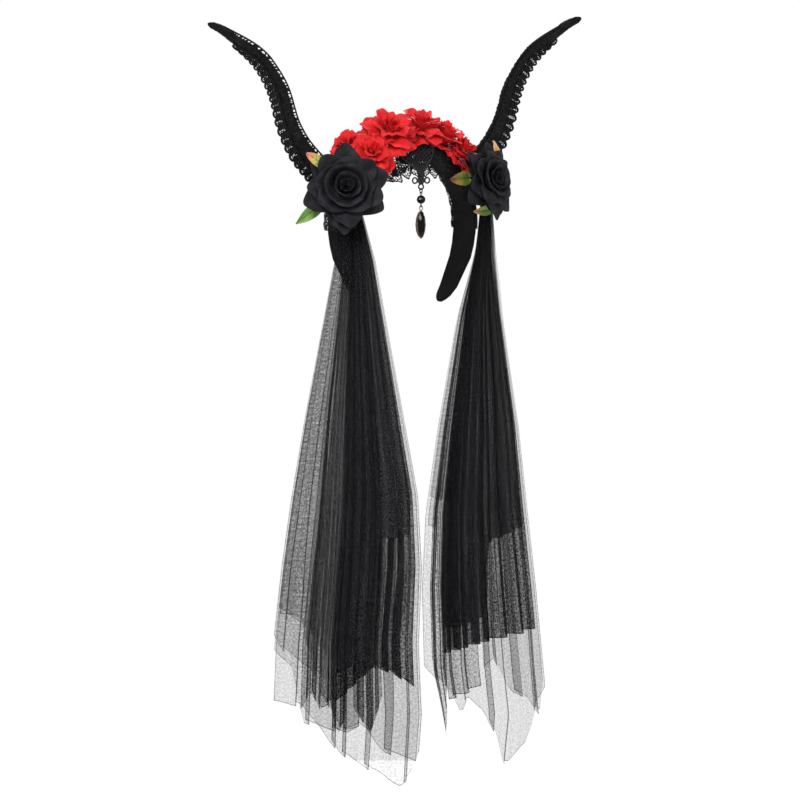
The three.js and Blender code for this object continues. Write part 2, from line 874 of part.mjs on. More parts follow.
function veilLayerBody(layer, gather, hem) {
  const columns = 10;
  const rows = 6;
  const frame = padFrame(gather.side);
  const top = new THREE.Vector3(gather.side * gather.along, -gather.depth, padTop - padHeight - seatGap);
  top.applyMatrix4(frame.matrix);
  const topAngle = gather.side * radians(roseTurn);
  const lefts = gather.edges.map(([share, left]) => [share, left]);
  const rights = gather.edges.map(([share, , right]) => [share, right]);
  const place = (i, j) => {
    const across = i / columns;
    const down = (j / rows) ** veilRowPower * valueAt(hem, across);
    const left = valueAt(lefts, down) * veilHalfWidth * layer.narrow;
    const right = valueAt(rights, down) * veilHalfWidth * layer.narrow;
    const run = left + (right - left) * across;
    const turn = THREE.MathUtils.smoothstep(down, 0, veilTurnShare);
    const angle = topAngle + (radians(veilTurn) - topAngle) * turn;
    const bow = layer.bow * (2 * across - 1) ** 2;
    const pleat = (i % 2 === 0 ? 1 : -1) * (veilGatherPleat + veilPleat * down);
    const depth = veilPitch * layer.depth + veilSpread * down * (layer.depth + bow) + pleat;
    return new THREE.Vector3(
      top.x + run * Math.cos(angle) + depth * Math.sin(angle),
      top.y + run * Math.sin(angle) - depth * Math.cos(angle),
      top.z - down * veilLength * gather.length,
    );
  };
  return openworkSheet(columns, rows, place, () => true, veilThickness);
}

// Pendant: heights follow from the cross's bottom bar, and each loop hangs in the one above.
const wireRadius = wireDiameter / 2;
const barMiddle = crossTop - crossHeight + crossBar / 2;
const ringTop = barMiddle + crossBar / 2 + seatGap + wireRadius;
const ringMiddle = ringTop - ringRadius;
const upperLoopTop = ringMiddle - ringRadius + wireDiameter + seatGap;
const upperLoopMiddle = upperLoopTop - loopRadius;
const beadMiddle = upperLoopMiddle - loopRadius - wireRadius - seatGap - beadDiameter / 2;
const lowerLoopMiddle = beadMiddle - beadDiameter / 2 - seatGap - wireRadius - loopRadius;
const bailTop = lowerLoopMiddle - loopRadius + wireDiameter + seatGap;
const bailMiddle = bailTop - bailRadius;
const dropTop = bailMiddle - bailRadius;
const dropMiddle = dropTop - dropHeight / 2;

// A ring of wire round local y, or round x when turned.
function wireRing(radius, height, turned) {
  const ring = new THREE.TorusGeometry(radius, wireRadius, 5, 10);
  ring.rotateX(Math.PI / 2);
  if (turned) ring.rotateZ(Math.PI / 2);
  ring.translate(0, crossY, height);
  return ring;
}

function beadPinBody() {
  const from = upperLoopMiddle - loopRadius;
  const to = lowerLoopMiddle + loopRadius;
  const stem = new THREE.CylinderGeometry(wireRadius, wireRadius, from - to, 6);
  stem.rotateX(Math.PI / 2);
  stem.translate(0, crossY, (from + to) / 2);
  const loops = [wireRing(loopRadius, upperLoopMiddle, false), wireRing(loopRadius, lowerLoopMiddle, true)];
  return geometryOf(fused([stem, ...loops]));
}

function beadBody() {
  const radius = beadDiameter / 2;
  const bore = wireRadius + seatGap;
  const profile = [];
  const steps = 6;
  const start = Math.asin(bore / radius);
  for (let i = 0; i <= steps; i++) {
    const angle = start + ((Math.PI - 2 * start) * i) / steps;
    profile.push(new THREE.Vector2(radius * Math.sin(angle), radius * Math.cos(angle)));
  }
  profile.push(profile[0].clone());
  const bead = new THREE.LatheGeometry(profile.reverse(), 12);
  bead.rotateX(Math.PI / 2);
  bead.translate(0, crossY, beadMiddle);
  return bead;
}

// The drop's outline: how sharp its ends are, and its stone's rings from the back. Columns:
// share of the depth before its middle, share of the outline.
const dropSharpness = 0.25;
const stoneRings = [
  [0, 1],
  [0.15, 1],
  [0.5, 0.6],
];
const stoneBackShare = 0.8;
const settingFrontShare = 0.1;
const settingBackShare = 0.92;

// The drop's pointed oval, grown by a margin, at a depth.
function dropOutline(margin, y, scale) {
  const count = 12;
  const ring = [];
  for (let i = 0; i < count; i++) {
    const angle = (i * 2 * Math.PI) / count;
    const narrow = Math.sin(angle) * Math.abs(Math.sin(angle)) ** dropSharpness;
    const half = dropHeight / 2 - settingWall - seatGap;
    const wide = dropWidth / 2 - settingWall - seatGap;
    const x = (wide * scale + margin) * narrow;
    const z = (half * scale + margin) * Math.cos(angle);
    ring.push(new THREE.Vector3(x, crossY + y, dropMiddle + z));
  }
  return ring;
}

function dropStoneBody() {
  const back = dropDepth / 2 - settingWall - seatGap;
  const rings = stoneRings.map(([before, share]) => dropOutline(0, -dropDepth * before, share));
  return loftedBody([dropOutline(0, back, stoneBackShare), ...rings]);
}

function dropSettingBody() {
  const back = dropDepth / 2;
  const front = -dropDepth * settingFrontShare;
  const tray = loftedBody([
    dropOutline(seatGap + settingWall, back, settingBackShare),
    dropOutline(seatGap + settingWall, front, 1),
    dropOutline(seatGap, front, 1),
    dropOutline(seatGap, back - settingWall, settingBackShare),
  ]);
  return geometryOf(fused([tray, wireRing(bailRadius, bailMiddle, false)]));
}

const headpiece = new THREE.Group();
headpiece.add(named("headband", headbandBody(), blackCloth));
headpiece.add(named("lace_strip", laceStripBody(), blackLace));
headpiece.add(named("lace_motif", motifBody(), blackLace));

const flowerMatrices = flowerPlaces.map(flowerMatrix);
const flowerCentres = flowerMatrices.map((matrix) =>
  new THREE.Vector3(0, 0, flowerHeight * 0.5).applyMatrix4(matrix),
);
const flowerRoom = solidOf(bandEnvelope(2 * laceThickness + 2 * seatGap));
const roseRoomMargin = 1;
const roseRooms = [leftSide, rightSide].map((place) => {
  const radius = roseRadius * place.rose + roseRoomMargin;
  const room = new THREE.CylinderGeometry(radius, radius, 2 * roseDepth, 16);
  room.translate(0, roseDepth - roseRoomMargin, 0);
  room.rotateX(Math.PI / 2);
  room.applyMatrix4(roseMatrix(place));
  room.applyMatrix4(padFrame(place.side).matrix);
  return solidOf(room);
});
const hornRooms = [-1, 1].map((side) => hornLoft(side, 2 * seatGap));
flowerPlaces.forEach((place, index) => {
  const geometry = geometryOf(flowerBody(flowerRadius * place[3]));
  geometry.applyMatrix4(flowerMatrices[index]);
  let flower = solidOf(geometry).subtract(flowerRoom);
  for (const room of [...roseRooms, ...hornRooms]) flower = flower.subtract(room);
  flowerCentres.forEach((centre, other) => {
    const near = centre.distanceTo(flowerCentres[index]) < flowerMeeting * flowerRadius;
    if (other !== index && near) {
      flower = flower.subtract(dividingBlock(flowerCentres[index], centre));
    }
  });
  headpiece.add(named(`flower_${index + 1}`, geometryOf(flower), redSilk));
});

for (const place of [leftSide, rightSide]) {
  const { side, name } = place;
  headpiece.add(named(`horn_${name}`, hornBody(side), blackLace));
  headpiece.add(named(`horn_trim_${name}`, hornTrimBody(side), blackLace));
  headpiece.add(named(`pad_${name}`, padBody(side), blackCloth));
  const frame = padFrame(side);
  const rose = geometryOf(roseBody(roseRadius * place.rose));
  rose.applyMatrix4(roseMatrix(place));
  frame.add(named(`rose_${name}`, rose, blackSilk));
  for (const [leaf, leafSide, edge, share, depth, length, half, direction, finish] of leafPlaces) {
    if (leafSide !== side) continue;
    const [run, height] = leafRoot(edge, share, half, direction);
    const body = leafBody(length, half);
    body.rotateX(Math.PI / 2);
    body.rotateY(side > 0 ? -radians(direction) : radians(direction) - Math.PI);
    body.translate(side * run, -depth, height);
    frame.add(named(leaf, body, finish));
  }
  headpiece.add(frame);
  const gather = veilGathers[name];
  for (const layer of veilLayers) {
    const hem = side < 0 ? layer.leftHem : layer.rightHem;
    headpiece.add(named(`veil_${name}_${layer.name}`, veilLayerBody(layer, gather, hem), blackTulle));
  }
}

headpiece.add(named("pendant_ring", wireRing(ringRadius, ringMiddle, true), darkMetal));
headpiece.add(named("bead_pin", beadPinBody(), darkMetal));
headpiece.add(named("bead", beadBody(), blackGlass));
headpiece.add(named("drop_setting", dropSettingBody(), bronzeMetal));
headpiece.add(named("drop_stone", dropStoneBody(), blackGlass));

export default headpiece;
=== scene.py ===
from math import cos, exp, pi, radians, sin, sqrt
import random
import bpy
import bmesh
from mathutils import Matrix, Vector, noise


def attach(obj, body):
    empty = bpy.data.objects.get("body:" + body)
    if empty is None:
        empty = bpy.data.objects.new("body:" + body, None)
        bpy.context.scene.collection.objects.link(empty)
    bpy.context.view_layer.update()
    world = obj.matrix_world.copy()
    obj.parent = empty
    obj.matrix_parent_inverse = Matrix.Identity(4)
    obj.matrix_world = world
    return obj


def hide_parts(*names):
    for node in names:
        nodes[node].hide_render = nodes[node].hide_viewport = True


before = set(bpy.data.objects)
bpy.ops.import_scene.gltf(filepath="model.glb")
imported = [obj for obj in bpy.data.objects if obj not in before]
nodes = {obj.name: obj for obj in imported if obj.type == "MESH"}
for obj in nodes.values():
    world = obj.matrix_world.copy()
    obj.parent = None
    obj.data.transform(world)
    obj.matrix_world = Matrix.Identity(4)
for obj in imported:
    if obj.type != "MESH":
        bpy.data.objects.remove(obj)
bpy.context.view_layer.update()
mm = 0.001
scene = bpy.context.scene
scene.view_settings.view_transform = "Standard"
scene.cycles.transparent_max_bounces = 64  # light goes through many layers of net


def blendBetween(rows, at):
    # value at a place in a table whose first column rises; every other column is blended
    if at <= rows[0][0]:
        return rows[0][1:]
    for low, high in zip(rows, rows[1:]):
        if at <= high[0]:
            share = (at - low[0]) / (high[0] - low[0])
            return [a + (b - a) * share for a, b in zip(low[1:], high[1:])]
    return rows[-1][1:]


def easeStep(value, low, high):
    share = min(max((value - low) / (high - low), 0.0), 1.0)
    return share * share * (3 - 2 * share)


def smoothPath(points, at):
    # a smooth curve through the points, at a share from 0 to 1
    place = min(max(at, 0.0), 1.0) * (len(points) - 1)
    k = min(int(place), len(points) - 2)
    t = place - k
    one, two = Vector(points[k]), Vector(points[k + 1])
    before = Vector(points[k - 1]) if k > 0 else 2 * one - two
    after = Vector(points[k + 2]) if k + 2 < len(points) else 2 * two - one
    return 0.5 * (2 * one + (two - before) * t + (2 * before - 5 * one + 4 * two - after) * t * t
                  + (3 * one - before - 3 * two + after) * t ** 3)


def newBmesh():
    mesh = bmesh.new()
    mesh.loops.layers.uv.new("cloth")
    return mesh


def gridSheet(mesh, columns, rows, place, size=(1.0, 1.0), closed=False, mark=None):
    # a grid whose vertices are moved to place(across, down); its UV map holds flat metres, and
    # mark(across, down) is kept as the attribute crease
    layer = mesh.loops.layers.uv["cloth"]
    made = bmesh.ops.create_grid(mesh, x_segments=columns, y_segments=rows, size=0.5)["verts"]
    flat = size if callable(size) else lambda across, down: (across * size[0], down * size[1])
    for face in {face for vert in made for face in vert.link_faces}:
        for loop in face.loops:
            loop[layer].uv = flat(loop.vert.co.x + 0.5, 0.5 - loop.vert.co.y)
    if mark:
        creases = mesh.verts.layers.float.new("crease")
        made = list(mesh.verts)  # a new layer makes the first list stale
    for vert in made:
        across, down = vert.co.x + 0.5, 0.5 - vert.co.y
        if mark:
            vert[creases] = mark(across, down)
        vert.co = place(across, down)
    if closed:
        bmesh.ops.remove_doubles(mesh, verts=made, dist=0.01 * mm)


def tubeAlong(mesh, points, radius, sides=6, up=(0, 1, 0), loop=False):
    # a round thread along points; its seam and its ends are merged
    count = len(points)
    rows = count if loop else count + 1
    length = sum((b - a).length for a, b in zip(points, points[1:]))

    def place(across, down):
        k = round(down * rows)
        capped = not loop and k in (0, rows)
        k = k % count if loop else min(max(k - 1, 0), count - 1)
        ahead = points[(k + 1) % count] if loop else points[min(k + 1, count - 1)]
        behind = points[(k - 1) % count] if loop else points[max(k - 1, 0)]
        way = (ahead - behind).normalized()
        normal = way.cross(Vector(up)).normalized()
        side = way.cross(normal)
        angle = 2 * pi * across
        size = 0.0 if capped else radius
        return points[k] + size * (cos(angle) * normal + sin(angle) * side)

    gridSheet(mesh, sides, rows, place, size=(2 * pi * radius, length), closed=True)


def finishMesh(mesh, name, material, slotName, outward=False, wall=0.0, smooth=0, replaces=()):
    # the bmesh becomes a piece of the headpiece
    if outward:
        bmesh.ops.recalc_face_normals(mesh, faces=mesh.faces)
    for face in mesh.faces:
        face.smooth = True
    data = bpy.data.meshes.new(name)
    mesh.to_mesh(data)
    mesh.free()
    data.materials.append(material)
    piece = bpy.data.objects.new(name, data)
    scene.collection.objects.link(piece)
    if wall:
        thick = piece.modifiers.new("wall", "SOLIDIFY")
        thick.thickness = wall
        thick.offset = 0.0
    if smooth:
        soft = piece.modifiers.new("soft", "SUBSURF")
        soft.levels = soft.render_levels = smooth
    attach(piece, "headpiece")
    if replaces:
        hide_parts(*replaces)
    return piece


class Flow:
    # a socket, or a number on its way to one, with the signs of arithmetic
    def __init__(self, maker, socket):
        self.maker = maker
        self.socket = socket

    def sum(self, operation, one, two=0.0):
        return self.maker.node("ShaderNodeMath", {"operation": operation}, {0: one, 1: two})

    def __add__(self, other):
        return self.sum("ADD", self, other)

    __radd__ = __add__

    def __sub__(self, other):
        return self.sum("SUBTRACT", self, other)

    def __rsub__(self, other):
        return self.sum("SUBTRACT", other, self)

    def __mul__(self, other):
        return self.sum("MULTIPLY", self, other)

    __rmul__ = __mul__

    def __lt__(self, other):
        return self.sum("LESS_THAN", self, other)

    def __gt__(self, other):
        return self.sum("GREATER_THAN", self, other)

    def sine(self):
        return self.sum("SINE", self)

    def size(self):
        return self.sum("ABSOLUTE", self)

    def least(self, other):
        return self.sum("MINIMUM", self, other)

    def most(self, other):
        return self.sum("MAXIMUM", self, other)

    def ease(self, low, high):
        # 0 below low, 1 above high, smooth between
        return self.maker.node("ShaderNodeMapRange", {"interpolation_type": "SMOOTHSTEP"},
                               {0: self, 1: low, 2: high, 3: 0.0, 4: 1.0})


class Finish:
    # a material with one shader; numbers that are the same all over go straight on its sockets
    def __init__(self, name, **uniform):
        self.material = bpy.data.materials.new(name)
        self.material.use_nodes = True
        self.tree = self.material.node_tree
        self.shader = self.tree.nodes["Principled BSDF"]
        for socket, value in uniform.items():
            self.set(socket, value)

    def node(self, kind, settings=None, sockets=None, out=0):
        made = self.tree.nodes.new(kind)
        for key, value in (settings or {}).items():
            if key == "stops":
                ramp = made.color_ramp
                while len(ramp.elements) < len(value):
                    ramp.elements.new(0.5)
                for element, (spot, color) in zip(ramp.elements, value):
                    element.position = spot
                    element.color = (*color, 1.0)
            else:
                setattr(made, key, value)
        for key, value in (sockets or {}).items():
            self.feed(made.inputs[key], value)
        return Flow(self, made.outputs[out])

    def feed(self, socket, value):
        if isinstance(value, Flow):
            self.tree.links.new(value.socket, socket)
        else:
            if socket.type == "RGBA" and len(value) == 3:
                value = (*value, 1.0)
            socket.default_value = value

    def set(self, socket, value):
        self.feed(self.shader.inputs[socket.replace("_", " ")], value)

    def place(self, out="Object"):
        return self.node("ShaderNodeTexCoord", out=out)

    def parts(self, vector):
        made = self.node("ShaderNodeSeparateXYZ", sockets={0: vector}).socket.node
        return [Flow(self, made.outputs[k]) for k in range(3)]

    def scaled(self, vector, scale):
        return self.node("ShaderNodeMapping", sockets={"Vector": vector, "Scale": scale})

    def noise(self, vector, scale, detail=2.0):
        return self.node("ShaderNodeTexNoise", sockets={
            "Vector": vector, "Scale": scale, "Detail": detail})

    def cells(self, vector, scale):
        # how far it is to the edge of uneven cells
        return self.node("ShaderNodeTexVoronoi", {"feature": "DISTANCE_TO_EDGE"}, {
            "Vector": vector, "Scale": scale})

    def mix(self, share, one, two):
        made = self.node("ShaderNodeMix", {"data_type": "RGBA"}, {0: share, 6: one, 7: two}).socket
        return Flow(self, made.node.outputs[2])

    def relief(self, height, depth, strength):
        return self.node("ShaderNodeBump", sockets={
            "Height": height, "Distance": depth, "Strength": strength})


print("helpers ready")

# camera, lights and floor: the photograph is taken from 32 degrees to the left, nearly level
view = {
    "turn": -32, "rise": 3, "lens": 600, "sensor": 36, "width": 0.728,
    "aim": (-0.00153, 0.00096, -0.2275),
    "floor": -0.62, "floorSize": 1.6, "skyLight": 0.55,
}
turn, rise = radians(view["turn"]), radians(view["rise"])
back = Vector((sin(turn) * cos(rise), -cos(turn) * cos(rise), sin(rise)))
cameraData = bpy.data.cameras.new("camera")
cameraData.lens = view["lens"]
cameraData.sensor_width = view["sensor"]
camera = bpy.data.objects.new("camera", cameraData)
scene.collection.objects.link(camera)
camera.location = Vector(view["aim"]) + back * (view["width"] * view["lens"] / view["sensor"])
camera.rotation_euler = back.to_track_quat("Z", "Y").to_euler()
scene.camera = camera


def addLight(name, place, size, power, aim=(0, 0, -0.2)):
    lamp = bpy.data.lights.new(name, "AREA")
    lamp.energy = power
    lamp.size = size
    light = bpy.data.objects.new(name, lamp)
    scene.collection.objects.link(light)
    light.location = place
    light.rotation_euler = (Vector(place) - Vector(aim)).to_track_quat("Z", "Y").to_euler()


addLight("keyLight", (-1.9, -1.3, 1.3), 0.8, 46)
addLight("fillLight", (0.6, -2.4, 0.6), 1.4, 18)
addLight("rimLight", (1.2, 1.4, 1.2), 1.0, 14)
world = bpy.data.worlds.new("studio")
world.use_nodes = True
sky = world.node_tree
paths = sky.nodes.new("ShaderNodeLightPath")
softer = sky.nodes.new("ShaderNodeMapRange")  # the backdrop looks white but gives less light
softer.inputs["To Min"].default_value = view["skyLight"]
softer.inputs["To Max"].default_value = 1.0
sky.links.new(paths.outputs["Is Camera Ray"], softer.inputs["Value"])
sky.links.new(softer.outputs["Result"], sky.nodes["Background"].inputs["Strength"])
sky.nodes["Background"].inputs["Color"].default_value = (1, 1, 1, 1)
scene.world = world

floorMesh = newBmesh()
bmesh.ops.create_circle(floorMesh, cap_ends=True, segments=64, radius=view["floorSize"] / 2)
bmesh.ops.translate(floorMesh, verts=floorMesh.verts, vec=(0, 0, view["floor"]))
floorData = bpy.data.meshes.new("floor")
floorMesh.to_mesh(floorData)
floorMesh.free()
floor = bpy.data.objects.new("floor", floorData)
scene.collection.objects.link(floor)
paper = Finish("paleFloor", Base_Color=(0.93, 0.93, 0.93), Roughness=0.9,
               Emission_Color=(1, 1, 1), Emission_Strength=0.35)
floorData.materials.append(paper.material)
print("stage ready")


def fromScreen(red, green, blue):
    # a colour as it looks on the screen, 0 to 255, made linear
    return tuple((v / 255 / 12.92) if v < 11 else ((v / 255 + 0.055) / 1.055) ** 2.4
                 for v in (red, green, blue))

# finishes
finishes = {
    "red": (206, 16, 26), "redPale": (240, 44, 46), "silk": (17, 17, 20), "silkPale": (40, 39, 46),
    # the pale lace colour is a painted highlight on raised cords, veins and the twist of the threads
    "lace": (7, 7, 8), "laceHighlight": (30, 30, 33), "shine": 0.14,
}
net = {
    "cell": 0.95 * mm, "patches": 520, "streaks": 260, "glints": 1100,
    # the fold colour is the painted shade of the creases and the gather; the glint colour is a painted
    # glint
    "fold": (0.003, 0.003, 0.0035), "glint": (150, 150, 156),
    # name, cover, colour, unevenness and sparkle of each kind of net
    "kinds": {
        "sheer": ("sheerTulle", 0.235, (22, 22, 25), 0.95, 0.0),
        "middling": ("pleatedTulle", 0.42, (28, 28, 31), 0.95, 0.4),
        "close": ("gatheredTulle", 0.74, (34, 33, 36), 0.5, 0.5),
    },
}
laceWork = {"cell": 2.1 * mm, "motifs": 105, "petals": 210, "bends": 120, "bendBy": (0.006, 0.004)}


def netFinish(name, cover, tint, uneven, sparkle):
    # fine threads round open cells, uneven in small patches and closer in the creases, which are also
    # darkened with painted shade; sparkle lightens small spots where the threads catch the light
    made = Finish(name, Roughness=0.75, Specular_IOR_Level=0.12)
    cloth = made.place("UV")
    thread = 1 - made.cells(cloth, 1 / net["cell"]).ease(0.02, 0.2)
    patch = made.noise(cloth, net["patches"]).ease(0.3, 0.7)
    streak = made.noise(made.scaled(cloth, (1, 0.05, 1)), net["streaks"]).ease(0.3, 0.7)
    crease = made.node("ShaderNodeAttribute", {"attribute_name": "crease"}, out="Fac")
    weave = 0.78 - uneven / 2 + thread * 0.4 + patch * uneven + streak * 0.25
    made.set("Alpha", cover * weave + crease * 0.6)
    # painted shade: the colour goes darker in the creases and the gather, and along random streaks
    color = made.mix((crease + streak * 0.6).least(1), fromScreen(*tint), net["fold"])
    if sparkle:
        glint = made.noise(cloth, net["glints"], 1.0).ease(0.56, 0.72) * (1 - crease) * sparkle
        color = made.mix(glint.most(0), color, fromScreen(*net["glint"]))
    made.set("Base Color", color)
    return made.material


def laceFinish(name, groundShare, pierced):
    # corded lace: a net ground with leaf-like dense patches and thick outline threads
    made = Finish(name, Roughness=0.7, Specular_IOR_Level=finishes["shine"])
    cloth = made.place("UV")
    bend = made.noise(cloth, laceWork["bends"])
    bendAcross, bendAlong = laceWork["bendBy"]
    bent = made.node("ShaderNodeVectorMath", {"operation": "ADD"}, {
        0: cloth,
        1: made.node("ShaderNodeCombineXYZ", sockets={0: bend * bendAcross, 1: bend * bendAlong}),
    })
    holes = made.cells(cloth, 1 / laceWork["cell"])
    figure = made.cells(bent, laceWork["motifs"])
    petals = made.cells(bent, laceWork["petals"])
    dense = figure.ease(0.1, 0.15)
    cord = 1 - figure.ease(0.04, 0.09)
    vein = 1 - petals.ease(0.03, 0.07)
    height = cord + dense * 0.5 + vein * dense * 0.4 + holes.ease(0.0, 0.2) * -0.2
    # painted highlight: the raised cords and veins get the pale colour
    made.set("Base Color", made.mix((cord + vein) * 0.5, fromScreen(*finishes["lace"]),
                                    fromScreen(*finishes["laceHighlight"])))
    made.set("Normal", made.relief(height, 0.5 * mm, 0.8))
    if pierced:
        made.set("Alpha", dense.most(cord).most(holes < groundShare))
    return made.material


def clothFinish(name, color, pale, rough, scale, sheen=0.0, shine=finishes["shine"]):
    # woven cloth with a fine thread relief and a slightly uneven colour
    made = Finish(name, Roughness=rough, Sheen_Weight=sheen, Sheen_Roughness=0.4,
                  Specular_IOR_Level=shine)
    spot = made.place("Object")
    x, y, z = made.parts(spot)
    weave = (x * scale + z * scale * 0.4).sine() * (z * scale + y * scale).sine()
    patch = made.noise(spot, 90, 3.0)
    made.set("Base Color", made.mix(patch.ease(0.35, 0.75), fromScreen(*color), fromScreen(*pale)))
    made.set("Normal", made.relief(weave + patch * 2, 0.1 * mm, 0.5))
    return made.material


def cordFinish(name, pale):
    # twisted crochet thread, whose UV map runs round and along it; the ridges of the twist get the pale
    # colour, a painted highlight
    made = Finish(name, Roughness=0.6, Specular_IOR_Level=finishes["shine"] * 1.6)
    around, along, _ = made.parts(made.place("UV"))
    twist = (along * 5200 + around * 2600).sine()
    fuzz = made.noise(made.place("Object"), 1400, 2.0)
    made.set("Base Color", made.mix(twist.ease(-0.2, 1.0) * 0.8, fromScreen(*finishes["lace"]),
                                    fromScreen(*pale)))
    made.set("Normal", made.relief(twist + fuzz * 0.6, 0.25 * mm, 0.8))
    return made.material


tulle = {kind: netFinish(*values) for kind, values in net["kinds"].items()}
openLace = laceFinish("openLace", 0.2, pierced=True)
closeLace = laceFinish("closeLace", 0.3, pierced=False)
bandCloth = clothFinish("bandCloth", (5, 5, 6), (13, 13, 14), 0.85, 4200)
redSilk = clothFinish("redSilk", finishes["red"], finishes["redPale"], 0.5, 5200, sheen=0.1, shine=0.25)
blackSilk = clothFinish("blackSilk", finishes["silk"], finishes["silkPale"], 0.5, 5200, sheen=0.05)
# the second colour of each thread is the painted highlight on its twist
crochet = cordFinish("crochetThread", finishes["laceHighlight"])
motifThread = cordFinish("motifThread", (74, 74, 77))
felt = clothFinish("blackFelt", (6, 6, 7), (16, 16, 18), 0.95, 2500)
print("finishes ready")

# the band's shape: a half circle over the head with two flatter arms
band = {"crownRadius": 66 * mm, "armRadius": 106 * mm, "width": 36 * mm, "thickness": 3 * mm}
crownLength = band["crownRadius"] * pi / 2


def bandPlace(run, offset, y):
    side = -1 if run < 0 else 1
    length = abs(run)
    crown, arm = band["crownRadius"], band["armRadius"]
    if length <= crownLength:
        angle = length / crown
        x, z = (crown + offset) * sin(angle), -crown + (crown + offset) * cos(angle)
    else:
        angle = (length - crownLength) / arm
        x, z = crown - arm + (arm + offset) * cos(angle), -crown - (arm + offset) * sin(angle)
    return Vector((side * x, y, z))


# horns
horn = {
    "spread": 142 * mm, "rise": 153 * mm, "width": 24 * mm, "depthShare": 0.85, "setBack": 10 * mm,
    "rootAngle": 61.6, "trimWidth": 7.5 * mm, "trimLoops": 22, "trimStart": 0.07, "trimEnd": 0.85,
    "thread": 0.42 * mm, "inset": 2.4 * mm, "start": 0.02, "windings": 40, "windHeight": 0.25,
    "lumpHeight": 0.8, "rootRound": 0.01, "tipRound": 0.025,
    # the wire runs at this angle round the horn, towards the front, and stands off the lace
    "wireAngle": 28, "wireGap": 2.7 * mm, "ties": 52,
    # cords along the braid: share of its width, place in y in mm, thickness in threads
    "cords": [(0.0, 1.2, 1.5), (0.06, -1.2, 1.5), (0.14, 0.2, 1.3)],
    # rungs of each step: place in the step, thickness in threads; and its loose threads' places
    "rungs": [(-0.24, 2.9), (-0.06, 3.3), (0.13, 3.1), (0.33, 2.0)],
    "looseThreads": (0.45, 0.53, 0.61),
    # width of the braid: place along it, share of the width
    "trimTaper": [(0, 1.05), (0.3, 1.1), (0.6, 1.1), (0.8, 0.95), (1, 0.4)],
    # the horn's middle from its root to its tip: shares of the spread, the rise and the width
    "sections": [
        (0, 0, 1), (0.077, 0.033, 0.97), (0.19, 0.124, 0.86), (0.289, 0.222, 0.8),
        (0.345, 0.301, 0.74), (0.387, 0.379, 0.7), (0.415, 0.458, 0.67), (0.437, 0.529, 0.645),
        (0.468, 0.598, 0.62), (0.518, 0.673, 0.58), (0.585, 0.752, 0.55), (0.676, 0.827, 0.52),
        (0.782, 0.895, 0.45), (0.88, 0.948, 0.34), (0.985, 0.985, 0.24),
    ],
}
hornRoot = bandPlace(radians(horn["rootAngle"]) * band["crownRadius"], band["thickness"], 0)


def hornStation(t):
    here = smoothPath(horn["sections"], t)
    ahead = smoothPath(horn["sections"], min(t + 0.01, 1))
    behind = smoothPath(horn["sections"], max(t - 0.01, 0))
    run = Vector(((ahead.x - behind.x) * horn["spread"], 0, (ahead.y - behind.y) * horn["rise"]))
    run.normalize()
    out = Vector((run.z, 0, -run.x))
    shift = horn["trimWidth"] / 2 * (1 - easeStep(t, 0.7, 0.9))
    middle = Vector((hornRoot.x + here.x * horn["spread"], horn["setBack"],
                     hornRoot.z + here.y * horn["rise"])) - out * shift
    return middle, out, here.z * horn["width"] / 2


def hornPoint(side, t, outward, y):
    middle, out, _ = hornStation(t)
    spot = middle + out * outward
    return Vector((side * spot.x, spot.y + y, spot.z))


rulerSteps = 200
hornRuler = [(0.0, 0.0)]  # length along the horn, place along it
for k in range(rulerSteps):
    here, ahead = k / rulerSteps, (k + 1) / rulerSteps
    stretch = (hornStation(ahead)[0] - hornStation(here)[0]).length
    hornRuler.append((hornRuler[-1][0] + stretch, ahead))


def outerInset(t):
    # how far the lace body stands back under the braid on the outer side
    return horn["inset"] * (1 - easeStep(t, 0.7, 0.85))


def innerGap(t):
    # how far the lace body stands back from the wire on the inner side
    return horn["wireGap"] * easeStep(t, 0.06, 0.16) * (1 - easeStep(t, 0.84, 0.92))


def wireSpot(side, t, away):
    # a place on the wire's line at the inner front of the horn, away from its edge by a distance
    half = hornStation(t)[2]
    angle = radians(horn["wireAngle"])
    return hornPoint(side, t, (away - half) * cos(angle),
                     (away - half * horn["depthShare"]) * sin(angle))


def hornPiece(side, name):
    mesh = newBmesh()

    def place(across, down):
        t = horn["start"] + (1 - horn["start"]) * down
        half = hornStation(t)[2]
        close = min(1.0, down / horn["rootRound"], sqrt(max(1 - down, 0) / horn["tipRound"]))
        angle = across * 2 * pi
        inner = innerGap(t)
        gap = (inner - outerInset(t)) / 2
        wide = half - (inner + outerInset(t)) / 2
        outward = gap + wide * close * cos(angle)
        deep = (half - inner / 2) * close * horn["depthShare"]
        spot = hornPoint(side, t, outward, inner / 4 + deep * sin(angle))
        # wound lace: low bands that climb round the horn, and small lumps
        wind = sin(2 * pi * (down * horn["windings"] + across))
        lump = noise.noise(spot * 160) * 0.8 + noise.noise(spot * 480) * 0.45
        away = spot - hornPoint(side, t, gap, 0)
        if not away.length:
            return spot
        fade = blendBetween([(0, 1), (0.7, 0.9), (0.9, 0.3)], down)[0]
        swell = (horn["windHeight"] * wind + horn["lumpHeight"] * lump) * fade
        return spot + away.normalized() * swell * mm * close

    gridSheet(mesh, 40, 170, place, size=(0.06, 0.22), closed=True)
    bmesh.ops.dissolve_degenerate(mesh, edges=mesh.edges, dist=0.01 * mm)
    return finishMesh(mesh, f"laceHorn_{name}", closeLace, slotName="black_lace", outward=True,
                      replaces=(f"horn_{name}",))


